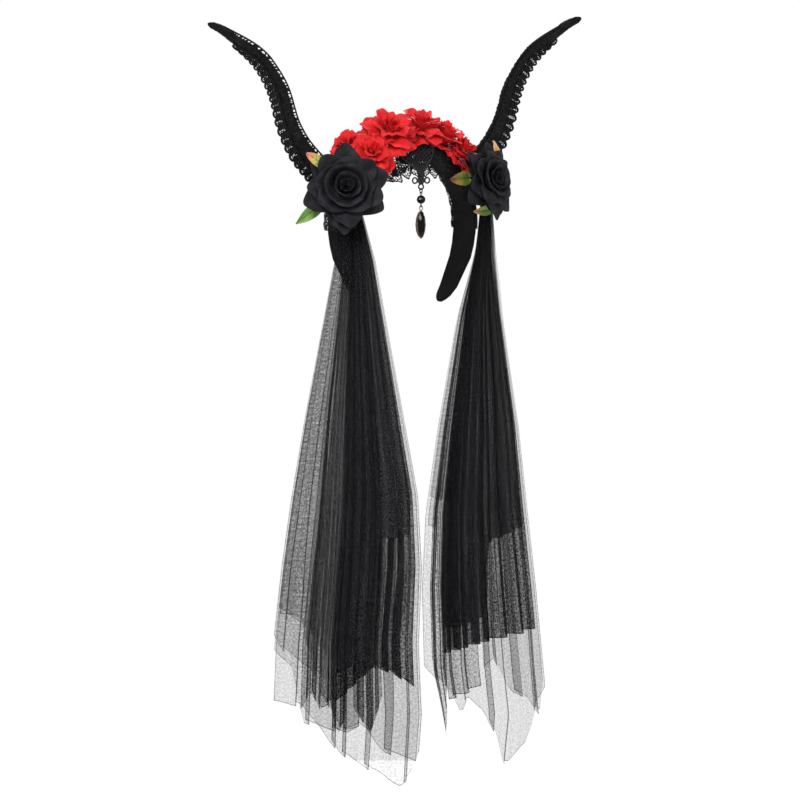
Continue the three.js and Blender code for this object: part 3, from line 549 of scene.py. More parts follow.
def trimPiece(side, name):
    # the ladder braid: cords along the horn, thick rungs, and a scalloped outer loop at each step
    mesh = newBmesh()
    thread = horn["thread"]
    startAt, endAt = ([row[0] for row in hornRuler if row[1] >= t][0]
                      for t in (horn["trimStart"], horn["trimEnd"]))
    random.seed(31 + side)

    def edge(share, wide, y=0.0):
        t = blendBetween(hornRuler, startAt + (endAt - startAt) * share)[0]
        width = horn["trimWidth"] * blendBetween(horn["trimTaper"], share)[0]
        inset = outerInset(t)
        return hornPoint(side, t, hornStation(t)[2] - inset + wide * (width + inset), y)

    steps = 120
    for wide, y, size in horn["cords"]:
        tubeAlong(mesh, [edge(k / steps, wide, y * mm) for k in range(steps + 1)], thread * size)
    loops = horn["trimLoops"]
    for k in range(loops):
        low, step = k / loops, 1 / loops
        thick = 1 - 0.35 * k / loops
        # outer scallop, a thick loop that bulges out and dips between the steps
        bulge = [min(max((j - 1) / 8, 0), 1) for j in range(11)]
        points = [edge(min(max(low + step * (j - 1) / 8, 0), 1),
                       0.62 + 0.3 * sin(pi * bulge[j]), 0.4 * mm * sin(j))
                  for j in range(11)]
        tubeAlong(mesh, points, thread * 3.1 * thick, 8)
        points = [edge(low + step * j / 8, 0.45 + 0.22 * sin(pi * j / 8), -0.8 * mm)
                  for j in range(9)]
        tubeAlong(mesh, points, thread * 1.4 * thick)
        # rungs, and loose threads across each slit
        for shift, size in horn["rungs"]:
            points = [edge(min(max(low + step * (shift + 0.05 * sin(3 * j)), 0), 1), 0.72 * j / 5,
                           0.5 * mm * cos(2 * j)) for j in range(6)]
            tubeAlong(mesh, points, thread * size * thick, up=(0, 0.3, 1))
        for shift in horn["looseThreads"]:
            lean = random.uniform(-0.16, 0.16)
            points = [edge(low + step * (shift + lean * (j / 4 - 0.5)), 0.75 * j / 4) for j in range(5)]
            tubeAlong(mesh, points, thread * random.uniform(0.4, 0.9), 5, up=(0, 0.3, 1))
    # the wire along the inner side, tied to the lace body by short threads
    points = [wireSpot(side, 0.06 + 0.86 * k / steps, 0.7 * mm) for k in range(steps + 1)]
    tubeAlong(mesh, points, thread * 2)
    for k in range(horn["ties"]):
        t = 0.1 + 0.8 * (k + random.uniform(-0.3, 0.3)) / horn["ties"]
        lean = random.uniform(-0.006, 0.006)
        reach = innerGap(t) + 1.4 * mm
        points = [wireSpot(side, t + lean * j, 0.4 * mm + reach * j / 3) for j in range(4)]
        tubeAlong(mesh, points, thread * random.uniform(1.2, 3.4), 5, up=(0, 0.3, 1))
    return finishMesh(mesh, f"ladderBraid_{name}", crochet, slotName="black_lace", outward=True,
                      replaces=(f"horn_trim_{name}",))


for side, name in ((-1, "left"), (1, "right")):
    hornPiece(side, name)
    trimPiece(side, name)
print("horns ready")

# petals
silk = {"wall": 0.35 * mm}


def petalSheet(mesh, matrix, petal, columns, rows, seed):
    # a patch of a turned surface round local +z, from the angle lean to the angle fold, with
    # creases that grow towards its edge and a rim that rolls back
    turnBy = radians(petal["fold"] - petal["lean"])
    lean = radians(petal["lean"])
    length = petal["length"]
    random.seed(seed)
    shift = Vector((random.random() * 40, random.random() * 40, random.random() * 40))
    corner = random.uniform(-0.35, 0.35)
    folds = petal["folds"]
    phase = random.random() * 6.28

    def place(across, down):
        a = 2 * across - 1
        tip = 1 - petal["point"] * abs(a - corner * (1 - a * a)) ** petal["corner"]
        tip += petal["ragged"] * noise.noise(shift + Vector((a * 3.2, 0, 0)))
        d = down * tip
        angle = lean + turnBy * d
        reach = length / turnBy * (cos(lean) - cos(angle))
        up = length / turnBy * (sin(angle) - sin(lean))
        roll = petal["roll"] * easeStep(d, 0.72, 1.0) ** 2
        rolled = angle + roll
        crease = petal["crease"] * (
            0.8 * noise.noise(shift + Vector((a * 1.8, d * 1.6, 0)) * 1.7)
            + 0.35 * sin(folds * pi * a + phase + 1.5 * d)
            + 0.3 * noise.noise(shift + Vector((a, d, 0)) * 6.0)) * d ** 1.2
        radius = petal["root"] + reach + crease * cos(rolled) - roll * length * 0.06 * (1 - d)
        rise = petal["base"] + up - crease * sin(rolled) - roll * length * 0.12
        spread = radians(petal["spread"]) * (0.55 + 0.45 * sin(pi * min(down, 0.62)))
        around = radians(petal["around"]) + a * spread
        return matrix @ Vector((radius * cos(around), radius * sin(around), rise))

    width = 2 * radians(petal["spread"]) * (petal["root"] + length * 0.6)
    gridSheet(mesh, columns, rows, place, size=(width, length))


def petalRings(mesh, matrix, blossom, size, depth, seedFrom):
    # the rings of petals of a flower or a rose, each petal a little different
    uneven = blossom["uneven"]
    for ring, row in enumerate(blossom["rings"]):
        count, root, length, lean, fold, spread, first, base, roll, crease, point, corner = row
        columns, rows = blossom["grid"] if ring else blossom["lowGrid"]
        for k in range(count):
            seed = seedFrom + ring * 10 + k
            random.seed(seed)
            petalSheet(mesh, matrix, {
                "root": size * root, "length": size * length * random.uniform(*uneven["length"]),
                "lean": lean + random.uniform(*uneven["lean"]),
                "fold": fold + random.uniform(*uneven["fold"]),
                "spread": spread * random.uniform(*uneven["spread"]),
                "around": first + 360 * k / count + random.uniform(*uneven["around"]),
                "base": depth * base, "point": point, "corner": corner,
                "ragged": blossom["ragged"], "roll": roll * random.uniform(*uneven["roll"]),
                "crease": size * crease, "folds": random.choice(uneven["folds"]),
            }, columns, rows, seed)


flower = {
    "radius": 20 * mm, "height": 30 * mm, "offset": 4.6 * mm, "ragged": 0.24,
    "grid": (12, 12), "lowGrid": (8, 8),  # the lowest ring only fills the gaps
    "uneven": {"length": (0.88, 1.12), "lean": (-6, 6), "fold": (-12, 10), "spread": (0.92, 1.12),
               "around": (-9, 9), "roll": (0.4, 1.3), "folds": (2, 3, 4)},
    # degrees from the apex, share of the band's width in y, forward tilt, sideways tilt, radius
    # share, turn, lift
    "places": [
        (-38, 0.16, 16, -6, 1.0, 10, 7 * mm), (-37, -0.44, 48, 0, 1.02, 50, 1 * mm),
        (-15, -0.2, 38, 0, 1.18, 0, 6.5 * mm), (10, -0.06, 26, -10, 1.1, 40, 8 * mm),
        (27.5, -0.04, 22, -6, 1.12, 34, 5.5 * mm), (41, -0.09, 32, 0, 1.06, 46, 4.8 * mm),
    ],
    # petals, root, length, lean, fold, half spread, first angle, base, roll, crease, point, corner
    "rings": [
        (8, 0.1, 0.86, 64, 108, 48, 25, -0.08, 0.2, 0.16, 0.2, 1.25),
        (7, 0.2, 1.05, 52, 118, 42, 0, 0.08, 0.3, 0.24, 0.3, 1.25),
        (6, 0.18, 1.0, 34, 100, 46, 30, 0.2, 0.5, 0.24, 0.34, 1.25),
        (5, 0.14, 0.9, 18, 74, 52, 10, 0.3, 0.6, 0.2, 0.34, 1.25),
        (4, 0.1, 0.72, 4, 52, 60, 40, 0.4, 0.4, 0.17, 0.3, 1.25),
        (3, 0.05, 0.54, -6, 30, 75, 50, 0.46, 0.2, 0.12, 0.25, 1.25),
    ],
}


def flowerPiece(number, angle, y, tilt, aside, scale, spin, lift):
    seat = bandPlace(radians(angle) * band["crownRadius"], flower["offset"], y * band["width"])
    matrix = (Matrix.Translation(seat) @ Matrix.Rotation(radians(angle), 4, "Y")
              @ Matrix.Translation((0, 0, lift)) @ Matrix.Rotation(radians(aside), 4, "Y")
              @ Matrix.Rotation(radians(tilt), 4, "X") @ Matrix.Rotation(radians(spin), 4, "Z"))
    mesh = newBmesh()
    petalRings(mesh, matrix, flower, flower["radius"] * scale, flower["height"], number * 100)
    return finishMesh(mesh, f"ruffledFlower_{number}", redSilk, slotName="red_silk", wall=silk["wall"],
                      smooth=1, replaces=(f"flower_{number}",))


for number, place in enumerate(flower["places"], 1):
    flowerPiece(number, *place)
print("flowers ready")

# roses, each on a frame at the band's front corner on its side
rose = {
    "turn": 22.3, "radius": 38 * mm, "depth": 27 * mm, "budTurns": 2.6, "padFront": 9.7 * mm,
    "padTop": -20 * mm, "padHeight": 30 * mm, "ragged": 0.06, "grid": (16, 14), "lowGrid": (16, 14),
    "uneven": {"length": (0.95, 1.06), "lean": (-3, 3), "fold": (-6, 6), "spread": (0.95, 1.08),
               "around": (-6, 6), "roll": (0.7, 1.2), "folds": (1, 2)},
    "left": {"along": 6 * mm, "height": -34 * mm, "share": 1.04, "nod": 15},
    "right": {"along": -4 * mm, "height": -29 * mm, "share": 0.94, "nod": 12},
    # petals, root, length, lean, fold, half spread, first angle, base, roll, crease, point, corner
    "rings": [
        (6, 0.2, 0.9, 64, 100, 36, 22, 0.04, 0.1, 0.08, 0.5, 1.1),
        (5, 0.2, 0.8, 52, 94, 44, 50, 0.08, 0.2, 0.08, 0.46, 1.1),
        (5, 0.2, 0.64, 34, 82, 50, 12, 0.12, 0.8, 0.05, 0.3, 1.6),
        (3, 0.2, 0.6, 14, 50, 78, 40, 0.14, 0.9, 0.035, 0.14, 1.6),
        (3, 0.15, 0.56, 4, 34, 74, 100, 0.14, 0.5, 0.03, 0.14, 1.6),
        (3, 0.08, 0.5, 0, 24, 80, 20, 0.16, 0.3, 0.03, 0.16, 1.6),
    ],
}


def sideFrame(side):
    corner = Vector((side * (band["crownRadius"] + band["thickness"]), -band["width"] / 2, 0))
    return Matrix.Translation(corner) @ Matrix.Rotation(side * radians(rose["turn"]), 4, "Z")


def rosePiece(side, name):
    spot = rose[name]
    place = Matrix.Translation((side * spot["along"], -rose["padFront"], spot["height"]))
    matrix = sideFrame(side) @ place @ Matrix.Rotation(radians(90 - spot["nod"]), 4, "X")
    size = rose["radius"] * spot["share"]
    mesh = newBmesh()
    petalRings(mesh, matrix, rose, size, rose["depth"], (side + 2) * 1000)

    def bud(across, down):
        # one long petal rolled up on itself
        turns = rose["budTurns"] * across
        radius = size * (0.03 + 0.09 * across) * (0.8 + 0.35 * down)
        rise = rose["depth"] * (0.2 + (0.44 + 0.1 * across) * down)
        wave = 0.4 * mm * noise.noise(Vector((across * 9, down * 3, side)))
        angle = turns * 2 * pi
        return matrix @ Vector(((radius + wave) * cos(angle), (radius + wave) * sin(angle),
                                rise + 2.5 * wave * down))

    gridSheet(mesh, 72, 10, bud, size=(0.12, 0.02))
    return finishMesh(mesh, f"silkRose_{name}", blackSilk, slotName="black_silk", wall=silk["wall"],
                      smooth=1, replaces=(f"rose_{name}",))


rosePiece(-1, "left")
rosePiece(1, "right")
print("roses ready")

# leaves
leaf = {
    "rootShare": 0.14, "wall": 0.3 * mm, "veins": (60, 80, 25),
    # side, place from the band's corner outwards, forwards and up, length and half width in mm,
    # direction, bluntness
    "places": {
        "leaf_left_upper": (-1, 21.2, 11, -12.6, 22, 5.6, 33, 0.5),
        "leaf_left_lower": (-1, 22.9, 4, -45.2, 32, 6.5, -38, 0.8),
        "leaf_right_inner": (1, -18.4, 5, -25.5, 28, 7, 180, 0.45),
        "leaf_right_lower": (1, 9.4, 9, -55, 24, 5, 183, 0.55),
        "leaf_right_upper": (1, 24, 7, -9.5, 18, 4.4, 111, 0.7),
    },
    # colours of the root, the middle and the tip
    "looks": {
        "leaf_left_upper": ((120, 150, 50), (190, 180, 90), (226, 128, 108)),
        "leaf_left_lower": ((90, 130, 40), (100, 150, 52), (120, 165, 70)),
        "leaf_right_inner": ((120, 150, 44), (140, 140, 46), (140, 66, 36)),
        "leaf_right_lower": ((100, 150, 44), (124, 166, 52), (196, 140, 90)),
        "leaf_right_upper": ((200, 150, 80), (230, 160, 100), (240, 200, 150)),
    },
}


def leafFinish(name, looks):
    made = Finish(name, Roughness=0.5, Sheen_Weight=0.15)
    across, along, _ = made.parts(made.place("UV"))
    patch = made.noise(made.place("Object"), 180, 3.0)
    share = along * 30 + (patch - 0.5) * 0.5
    stops = [(spot, fromScreen(*color)) for spot, color in zip((0.1, 0.5, 0.9), looks)]
    body = made.node("ShaderNodeValToRGB", {"stops": stops}, {0: share})
    off = (across * 80 - 0.5).size()
    vein = ((along * 900 - off * 14).sine()).ease(0.7, 1.0) * 0.35
    rib = 1 - off.ease(0.02, 0.07)
    made.set("Base Color", made.mix((vein + rib * 0.5).least(0.6), body, fromScreen(*leaf["veins"])))
    made.set("Normal", made.relief(vein * -1 + rib * -1, 0.25 * mm, 0.7))
    return made.material


def leafPiece(node, side, run, depth, height, length, half, direction, blunt):
    angle = radians(direction)
    turned = -angle if side > 0 else angle - pi
    matrix = (sideFrame(side) @ Matrix.Translation((side * run * mm, -depth * mm, height * mm))
              @ Matrix.Rotation(turned, 4, "Y") @ Matrix.Rotation(radians(90), 4, "X"))
    length, half = length * mm, half * mm
    mesh = newBmesh()
    share = leaf["rootShare"]

    def place(across, down):
        a = 2 * across - 1
        bulge = sin(pi * min(down ** 0.8, 0.985)) ** blunt
        teeth = 1 + 0.05 * sin(down * 60) * easeStep(abs(a), 0.8, 1.0)
        wide = half * (share * (1 - down) + (1 - share) * bulge) * teeth
        curl = half * 0.5 * noise.noise(Vector((down * 2.2, a, run)))
        lift = half * 0.32 * abs(a) - length * 0.1 * down ** 2 + curl * down
        return matrix @ Vector((down * length, a * wide, lift))

    gridSheet(mesh, 10, 24, place, size=(1 / 80, 1 / 30))
    finish = leafFinish(node.replace("leaf", "printedLeaf"), leaf["looks"][node])
    return finishMesh(mesh, node.replace("leaf", "silkLeaf"), finish, wall=leaf["wall"], smooth=1,
                      slotName="leaf_green" if "lower" in node else "leaf_blush", replaces=(node,))


for node, values in leaf["places"].items():
    leafPiece(node, *values)
print("leaves ready")

# felt pads under the roses
pad = {"width": 38 * mm, "outer": 22.04 * mm, "front": 9.4 * mm, "back": 8 * mm, "round": 4 * mm}


def padPiece(side, name):
    mesh = newBmesh()
    bmesh.ops.create_cube(mesh, size=1.0)
    outer, depth = pad["outer"], pad["front"] + pad["back"]
    middle = Vector((side * (outer - pad["width"] / 2), (pad["back"] - pad["front"]) / 2,
                     rose["padTop"] - rose["padHeight"] / 2))
    bmesh.ops.scale(mesh, verts=mesh.verts, vec=(pad["width"], depth, rose["padHeight"]))
    bmesh.ops.translate(mesh, verts=mesh.verts, vec=middle)
    bmesh.ops.bevel(mesh, geom=mesh.edges, offset=pad["round"], segments=4, profile=0.5,
                    affect="EDGES", material=-1)
    bmesh.ops.transform(mesh, verts=mesh.verts, matrix=sideFrame(side))
    piece = finishMesh(mesh, f"feltPad_{name}", felt, slotName="black_cloth",
                       replaces=(f"pad_{name}",))
    return piece


padPiece(-1, "left")
padPiece(1, "right")
print("pads ready")

# lace over the band
lace = {
    "reach": 110 * mm, "scallop": 9.2 * mm, "backHang": 7 * mm, "frontHang": 13 * mm,
    "frontDrop": 22 * mm, "offset": 3.9 * mm, "picot": 1.4 * mm,
    # shares of the strip's width where the band's back and front edges are
    "backEdge": 0.16, "frontEdge": 0.62,
    # the lace is ruffled up under the flowers: height, middle and half width of the ruffle
    "ruffle": (5 * mm, 12 * mm, 34 * mm),
    "hemLoops": 16, "hemThread": 0.42 * mm, "hemBars": 9,
    # how far the front edge hangs down: share of the reach, share of the drop
    "hang": [(0, 1), (0.38, 0.95), (0.46, 0.5), (0.54, 0.1), (1, 0.06)],
}


def lacePoint(run, down):
    half = band["width"] / 2 + 0.3 * mm
    hang = blendBetween(lace["hang"], abs(run) / lace["reach"])[0]
    scallop = abs(sin(pi * run / lace["scallop"]))
    ripple = 0.5 * mm * noise.noise(Vector((run * 150, down * 4, 0)))
    height, middle, reach = lace["ruffle"]
    rise = height * exp(-((run - middle) / reach) ** 2)
    backEdge, frontEdge = lace["backEdge"], lace["frontEdge"]
    if down < backEdge:
        share = 1 - down / backEdge
        y = half + share * (lace["backHang"] - lace["picot"] * (1 - scallop))
        return bandPlace(run, lace["offset"] - share * 1.5 * mm + ripple * share, y)
    if down < frontEdge:
        share = (down - backEdge) / (frontEdge - backEdge)
        offset = lace["offset"] + ripple * 0.3 + rise * share ** 2
        return bandPlace(run, offset, half - 2 * half * share)
    share = (down - frontEdge) / (1 - frontEdge)
    cut = share * hang * (1 - 0.1 * (1 - scallop) * easeStep(share, 0.6, 1.0))
    offset = lace["offset"] + rise * (1 - share) ** 2 - cut * lace["frontDrop"] + ripple * share
    return bandPlace(run, offset, -half - cut * lace["frontHang"])


def lacePiece():
    mesh = newBmesh()
    gridSheet(mesh, 288, 40, lambda across, down: lacePoint((2 * across - 1) * lace["reach"], down),
              size=(2 * lace["reach"], 0.07))
    piece = finishMesh(mesh, "laceStrip", openLace, slotName="black_lace", replaces=("lace_strip",))
    return piece


def picotPiece():
    # scallop loops with picots and bars along the lace's front edge
    mesh = newBmesh()
    thread, bars = lace["hemThread"], lace["hemBars"]
    pitch = 2 * lace["reach"] / lace["hemLoops"]

    def loopPoint(k, share, height):
        run = -lace["reach"] + (k + share) * pitch
        edge = lacePoint(run, 1)
        way = (edge - lacePoint(run, 0.9)).normalized()
        hang = blendBetween(lace["hang"], abs(run) / lace["reach"])[0]
        return edge + way * height * (1.5 + 4.5 * hang) * mm

    for k in range(lace["hemLoops"]):
        for high, size in ((1.0, 1.3), (0.5, 0.9)):
            points = [loopPoint(k, j / 14, high * sin(pi * j / 14)) for j in range(15)]
            tubeAlong(mesh, points, thread * size)
        for j in range(bars):
            share = (j + 0.5) / bars
            low = sin(pi * share)
            points = [loopPoint(k, share + 0.03 * n, low + 0.16 * (1 - n * n))
                      for n in (-1, -0.5, 0, 0.5, 1)]
            tubeAlong(mesh, points, thread * 0.8, 5)
            if j % 2:
                points = [loopPoint(k, share, low * n / 3) for n in range(4)]
                tubeAlong(mesh, points, thread * 0.8, 5, up=(1, 0.2, 0))
    return finishMesh(mesh, "picotEdge", crochet, slotName="black_lace", outward=True)


motif = {
    "halfWidth": 22 * mm, "drop": 22 * mm, "hang": 13.9 * mm, "top": 4.6 * mm, "front": -18.6 * mm,
    "thread": 0.55 * mm, "rows": 7, "crossFront": -32.6 * mm,
    # share of the drop, share of the half width
    "outline": [(0, 1), (0.3, 0.86), (0.55, 0.66), (0.75, 0.42), (0.9, 0.27), (1, 0.2)],
    # the cross, in mm: side loops and bottom loop by the x and z of their middles, uprights from
    # top to foot by their x, and bars by their z
    "loop": 2.5, "loops": [(-6.6, -26.6), (6.6, -26.6), (0, -32.34)],
    "uprights": (-3.6, -2.1, 0, 2.1, 3.6), "crossTop": -16.4, "crossHeight": 13.6,
    "bars": (-25.2, -26.6, -28), "barReach": (-4.6, -2, 0, 2, 4.6),
}


def motifPiece():
    # a fan of crossed threads on the brow, and the cross that hangs from it
    mesh = newBmesh()
    thread = motif["thread"]

    def fanPoint(across, down):
        half = motif["halfWidth"] * blendBetween(motif["outline"], down)[0]
        return Vector((across * half, motif["front"] - motif["hang"] * down,
                       motif["top"] - motif["drop"] * down))

    rows = motif["rows"]
    for way in (-1, 1):
        for k in range(-rows, rows + 1):
            points = []
            for j in range(25):
                across = way * (2 * k / rows + 1.6 * (j / 24) - 0.8) * 0.9
                if abs(across) <= 1:
                    points.append(fanPoint(across, j / 24) + Vector((0, way * 0.35 * mm, 0)))
            if len(points) > 2:
                tubeAlong(mesh, points, thread, up=(1, 0.2, 0))
        tubeAlong(mesh, [fanPoint(way, j / 20) for j in range(21)], thread * 1.8, up=(1, 0.2, 0))
    tubeAlong(mesh, [fanPoint(j / 10 - 1, 0) for j in range(21)], thread * 1.6)

    def crossPoint(x, z):
        return Vector((x * mm, motif["crossFront"], z * mm))

    for x, z in motif["loops"]:
        angles = [a * pi / 12 for a in range(24)]
        points = [crossPoint(x + motif["loop"] * cos(a), z + motif["loop"] * sin(a))
                  for a in angles]
        tubeAlong(mesh, points, thread * 1.35, 8, loop=True)
    for x in motif["uprights"]:
        foot = x * 0.45
        points = [crossPoint(x + (foot - x) * j / 8, motif["crossTop"] - motif["crossHeight"] * j / 8)
                  for j in range(9)]
        tubeAlong(mesh, points, thread * 1.5, up=(1, 0.2, 0))
    for z in motif["bars"]:
        tubeAlong(mesh, [crossPoint(x, z) for x in motif["barReach"]], thread * 1.2)
    return finishMesh(mesh, "latticeMotif", motifThread, slotName="black_lace", outward=True,
                      replaces=("lace_motif",))


lacePiece()
picotPiece()
motifPiece()
print("lace ready")

# veils: each side hangs from one gather as several layers of net with folded pleats
veil = {
    "length": 529 * mm, "halfWidth": 69.5 * mm, "spread": 17 * mm, "turn": -32, "lift": 6 * mm,
    "foldDepth": 2.6 * mm, "foldLine": 1.0 * mm, "rows": 64,
    # sideways sway of the folds as a share of the width, and how far a layer swells at the hem
    "sway": 0.018, "swell": 5 * mm,
    # depth of the gather, and the share of the drop where the layers have reached their full turn
    "gatherDepth": 2.2 * mm, "turnBy": 0.25,
    "gatherShade": (0.8, 0.14),  # how dark the gather is, and the share of a layer where that ends
    # gather: place along the pad and before it, length share, and the outline by share of the drop
    "left": {
        "along": 3.5, "depth": 5.6, "share": 1,
        "edges": [
            (0, -0.12, 0.18), (0.1, -0.14, 0.39), (0.2, -0.28, 0.53), (0.37, -0.53, 0.77),
            (0.5, -0.7, 0.95), (0.62, -0.83, 1), (0.75, -0.94, 0.96), (0.87, -0.98, 1), (1, -0.96, 0.92),
        ],
    },
    "right": {
        "along": 15, "depth": -1.2, "share": 0.98,
        "edges": [
            (0, -0.11, 0.11), (0.1, -0.21, 0.14), (0.2, -0.36, 0.22), (0.4, -0.62, 0.44),
            (0.55, -0.78, 0.56), (0.68, -0.83, 0.67), (0.82, -0.8, 0.77), (0.9, -0.7, 0.82),
            (1, -0.6, 0.66),
        ],
    },
    # name, depth, left and right share of the outline, folds (share across, width doubled back),
    # hem (share across, share of the length), kind of net
    "leftLayers": [
        ("front", 1, 0.02, 1,
         [(0.17, 0.014), (0.42, 0.06), (0.49, 0.03), (0.66, 0.05), (0.93, 0.03)],
         [(0, 0.845), (0.18, 0.852), (0.45, 0.93), (0.49, 0.938), (0.75, 0.971), (0.9, 0.99), (0.96, 0.964),
          (1, 0.93)], "sheer"),
        ("side", 0.75, 0, 0.44, [(0.06, 0.006), (0.3, 0.02)],
         [(0, 0.735), (0.16, 0.76), (1, 0.82)], "sheer"),
        ("second", 0.5, 0.012, 0.5, [(0.25, 0.03), (0.42, 0.02)],
         [(0, 0.76), (0.25, 0.79), (0.42, 0.88), (1, 0.9)], "sheer"),
        ("middle", 0.2, 0.025, 0.985,
         [(0.24, 0.02), (0.36, 0.05), (0.54, 0.09), (0.8, 0.07)],
         [(0, 0.7), (0.16, 0.7), (0.3, 0.83), (0.5, 0.9), (0.6, 0.885), (0.75, 0.93), (1, 0.95)], "sheer"),
        ("under", -0.2, 0.015, 0.44, [(0.26, 0.02), (0.36, 0.03)],
         [(0, 0.69), (0.5, 0.72), (1, 0.8)], "sheer"),
        ("pleats", 0.85, 0.2, 0.42, [(0.24, 0.02), (0.28, 0.02), (0.33, 0.02), (0.38, 0.015)],
         [(0, 0.86), (0.3, 0.83), (0.6, 0.86), (1, 0.84)], "middling"),
        ("tail", 0.6, 0.38, 0.5, [(0.41, 0.02), (0.44, 0.025), (0.47, 0.02)],
         [(0, 0.83), (0.6, 0.905), (1, 0.87)], "middling"),
        ("bundle", 0.4, 0.44, 0.93,
         [(0.5, 0.04), (0.56, 0.05), (0.63, 0.06), (0.7, 0.04), (0.82, 0.02)],
         [(0, 0.8), (0.48, 0.77), (0.52, 0.572), (1, 0.565)], "close"),
        ("core", 0.0, 0.55, 0.74, [(0.6, 0.04), (0.66, 0.04), (0.7, 0.03)],
         [(0, 0.86), (0.6, 0.9), (1, 0.84)], "middling"),
        ("back", -0.5, 0.43, 0.955,
         [(0.48, 0.03), (0.54, 0.04), (0.62, 0.05), (0.7, 0.05), (0.78, 0.06), (0.86, 0.05)],
         [(0, 0.85), (0.3, 0.81), (0.5, 0.79), (0.75, 0.8), (1, 0.825)], "close"),
    ],
    "rightLayers": [
        ("front", 1, 0, 1,
         [(0.1, 0.014), (0.3, 0.03), (0.52, 0.06), (0.68, 0.012), (0.92, 0.03)],
         [(0, 0.815), (0.16, 0.85), (0.256, 0.895), (0.317, 0.87), (0.436, 0.89), (0.555, 0.93),
          (0.685, 0.99), (0.85, 0.943), (0.91, 0.885), (1, 0.85)], "sheer"),
        ("side", 0.75, 0.02, 0.3, [(0.12, 0.02), (0.2, 0.03)],
         [(0, 0.52), (1, 0.53)], "sheer"),
        ("edge", 0.5, 0.03, 0.26, [(0.1, 0.02), (0.18, 0.02)],
         [(0, 0.57), (0.35, 0.575), (0.4, 0.74), (1, 0.76)], "sheer"),
        ("middle", 0.2, 0.5, 0.985,
         [(0.6, 0.03), (0.76, 0.06), (0.93, 0.014)],
         [(0, 0.82), (0.2, 0.8), (0.4, 0.86), (0.7, 0.87), (0.9, 0.9), (1, 0.84)], "sheer"),
        ("tail", 0.7, 0.07, 0.19, [(0.1, 0.02), (0.13, 0.025), (0.16, 0.02)],
         [(0, 0.8), (0.3, 0.935), (1, 0.82)], "middling"),
        ("panel", 0.4, 0.17, 0.46, [(0.24, 0.03), (0.33, 0.02)],
         [(0, 0.875), (1, 0.85)], "middling"),
        ("bundle", 0.0, 0.17, 0.96,
         [(0.23, 0.04), (0.3, 0.05), (0.37, 0.05), (0.44, 0.06), (0.54, 0.05), (0.7, 0.02), (0.85, 0.02)],
         [(0, 0.795), (0.4, 0.775), (1, 0.752)], "close"),
        ("back", -0.5, 0.19, 0.94,
         [(0.26, 0.05), (0.34, 0.05), (0.43, 0.05), (0.52, 0.05), (0.62, 0.06), (0.72, 0.05), (0.84, 0.04)],
         [(0, 0.75), (0.35, 0.74), (0.5, 0.72), (0.55, 0.6), (1, 0.575)], "close"),
    ],
}


def foldRows(low, high, folds, width, seed):
    # columns of a pleated sheet: share across, lift to the front or back, how dark its fold is
    turns = [(low, 0)]
    random.seed(seed)
    for share, doubled in folds:
        share += random.uniform(-0.012, 0.012)
        doubled *= random.uniform(0.4, 1.3)
        turns += [(share + doubled / 2, 1), (share - doubled / 2, -1)]
    turns.append((high, 0))
    rows = []
    for (start, liftStart), (end, liftEnd) in zip(turns, turns[1:]):
        line = min(veil["foldLine"] / (abs(end - start) * width), 0.3)
        steps = 3 if abs(end - start) < 0.08 else 7
        inner = [line + (1 - 2 * line) * k / steps for k in range(steps + 1)]
        for share in [0.0] + inner:
            ease = easeStep(share, 0, 1)
            rows.append((start + (end - start) * share, liftStart + (liftEnd - liftStart) * ease,
                         1.0 if share == 0.0 else 0.0))
    return rows + [(high, 0, 1.0)]


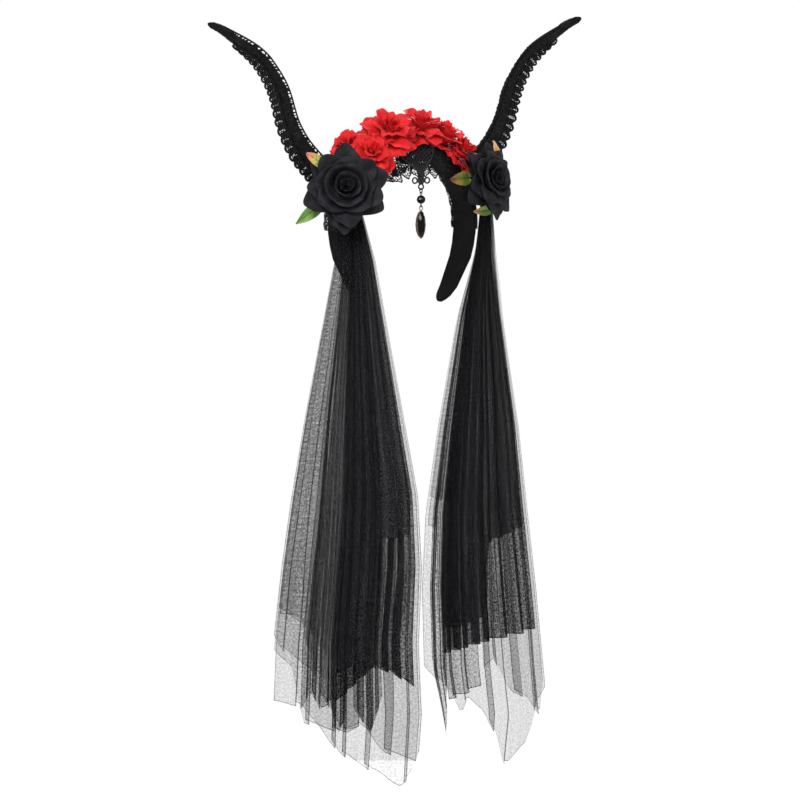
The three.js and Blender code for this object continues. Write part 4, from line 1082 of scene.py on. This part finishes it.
def veilLayer(side, name, number, layer):
    label, deep, low, high, folds, hem, looks = layer
    spot = veil[name]
    top = sideFrame(side) @ Vector((side * spot["along"] * mm, -spot["depth"] * mm,
                                    rose["padTop"] - rose["padHeight"] + veil["lift"]))
    topAngle = side * radians(rose["turn"])
    length = veil["length"] * spot["share"] + veil["lift"]
    seed = number * 13 + side * 7
    columns = foldRows(low, high, folds, 2 * veil["halfWidth"], seed)
    last = len(columns) - 1
    cloth = [0.0]
    for (a, _, _), (b, _, _) in zip(columns, columns[1:]):
        cloth.append(cloth[-1] + abs(b - a) * 2 * veil["halfWidth"])

    def hemDrop(across):
        share, lift, _ = columns[round(across * last)]
        return blendBetween(hem, min(max((share - low) / (high - low), 0), 1))[0] + 0.003 * lift

    def fall(down):
        # rows are even but for the last one, which is the narrow hem
        rows = veil["rows"]
        thin = veil["foldLine"] * 1.4 / length
        return min(down * rows / (rows - 1), 1) * (1 - thin) + (thin if down > 0.999 else 0)

    def place(across, down):
        share, lift, _ = columns[round(across * last)]
        drop = fall(down) * hemDrop(across)
        left, right = blendBetween(spot["edges"], drop)
        width = (right - left) * veil["halfWidth"]
        inside = min(1, 12 * (share - low) + 0.15, 12 * (high - share) + 0.15)
        sway = noise.noise(Vector((share * 5, drop * 3.2, seed))) + 0.6 * noise.noise(
            Vector((share * 14, drop * 5, seed + 9)))
        run = left * veil["halfWidth"] + width * (share + veil["sway"] * sway * inside)
        turned = easeStep(drop, 0, veil["turnBy"])
        turnAngle = topAngle + (radians(veil["turn"]) - topAngle) * turned
        swell = noise.noise(Vector((share * 4, drop * 3, seed + 5)))
        depth = ((veil["gatherDepth"] + veil["spread"] * drop) * deep
                 + lift * veil["foldDepth"] * (0.35 + drop) + veil["swell"] * drop * swell)
        return Vector((top.x + run * cos(turnAngle) + depth * sin(turnAngle),
                       top.y + run * sin(turnAngle) - depth * cos(turnAngle),
                       top.z - drop * length))

    def flat(across, down):
        return cloth[round(across * last)], fall(down) * hemDrop(across) * length

    def crease(across, down):
        # folds, cut edges and the gather are marked: the net is denser there and its colour darker, a
        # painted shade in the folds and the gather
        line = columns[round(across * last)][2]
        shade, end = veil["gatherShade"]
        return max(line, 1.0 if down > 0.999 else 0.0, shade * (1 - easeStep(down, 0.0, end)))

    mesh = newBmesh()
    gridSheet(mesh, last, veil["rows"], place, size=flat, mark=crease)
    area = sum(face.calc_area() for face in mesh.faces)
    wide, tall = cloth[-1], max(share for _, share in hem) * length
    replaced = (f"veil_{name}_{label}",) if label in ("front", "middle", "back") else ()
    piece = finishMesh(mesh, f"tulle_{name}_{label}", tulle[looks], slotName="black_tulle",
                       replaces=replaced)
    min(max(area, 0.31 * wide * tall), wide * tall)
    return piece


for side, name in ((-1, "left"), (1, "right")):
    for number, layer in enumerate(veil[f"{name}Layers"]):
        veilLayer(side, name, number, layer)
print("veils ready")

# the finishes of the pieces that keep their CAD shape
darkWire = Finish("darkWire", Base_Color=(0.05, 0.045, 0.04), Metallic=1.0)
darkWire.set("Roughness", darkWire.noise(darkWire.place(), 900, 2.0).ease(0.2, 0.9) * 0.3 + 0.25)
jet = Finish("jetGlass", Base_Color=(0.003, 0.003, 0.004), Specular_IOR_Level=0.16)
jet.set("Roughness", jet.noise(jet.place(), 400, 2.0) * 0.12 + 0.04)
bronze = Finish("agedBronze", Metallic=1.0)
bronze.set("Base Color", bronze.mix(bronze.noise(bronze.place(), 500, 3.0).ease(0.3, 0.7),
                                    fromScreen(76, 60, 51), fromScreen(134, 110, 96)))
bronze.set("Roughness", bronze.noise(bronze.place(), 700, 2.0) * 0.3 + 0.2)
for node, finish in (
    ("headband", bandCloth), ("pendant_ring", darkWire.material),
    ("bead_pin", darkWire.material), ("bead", jet.material), ("drop_stone", jet.material),
    ("drop_setting", bronze.material),
):
    for slot in nodes[node].material_slots:
        slot.material = finish
print("finishes on the CAD pieces ready")
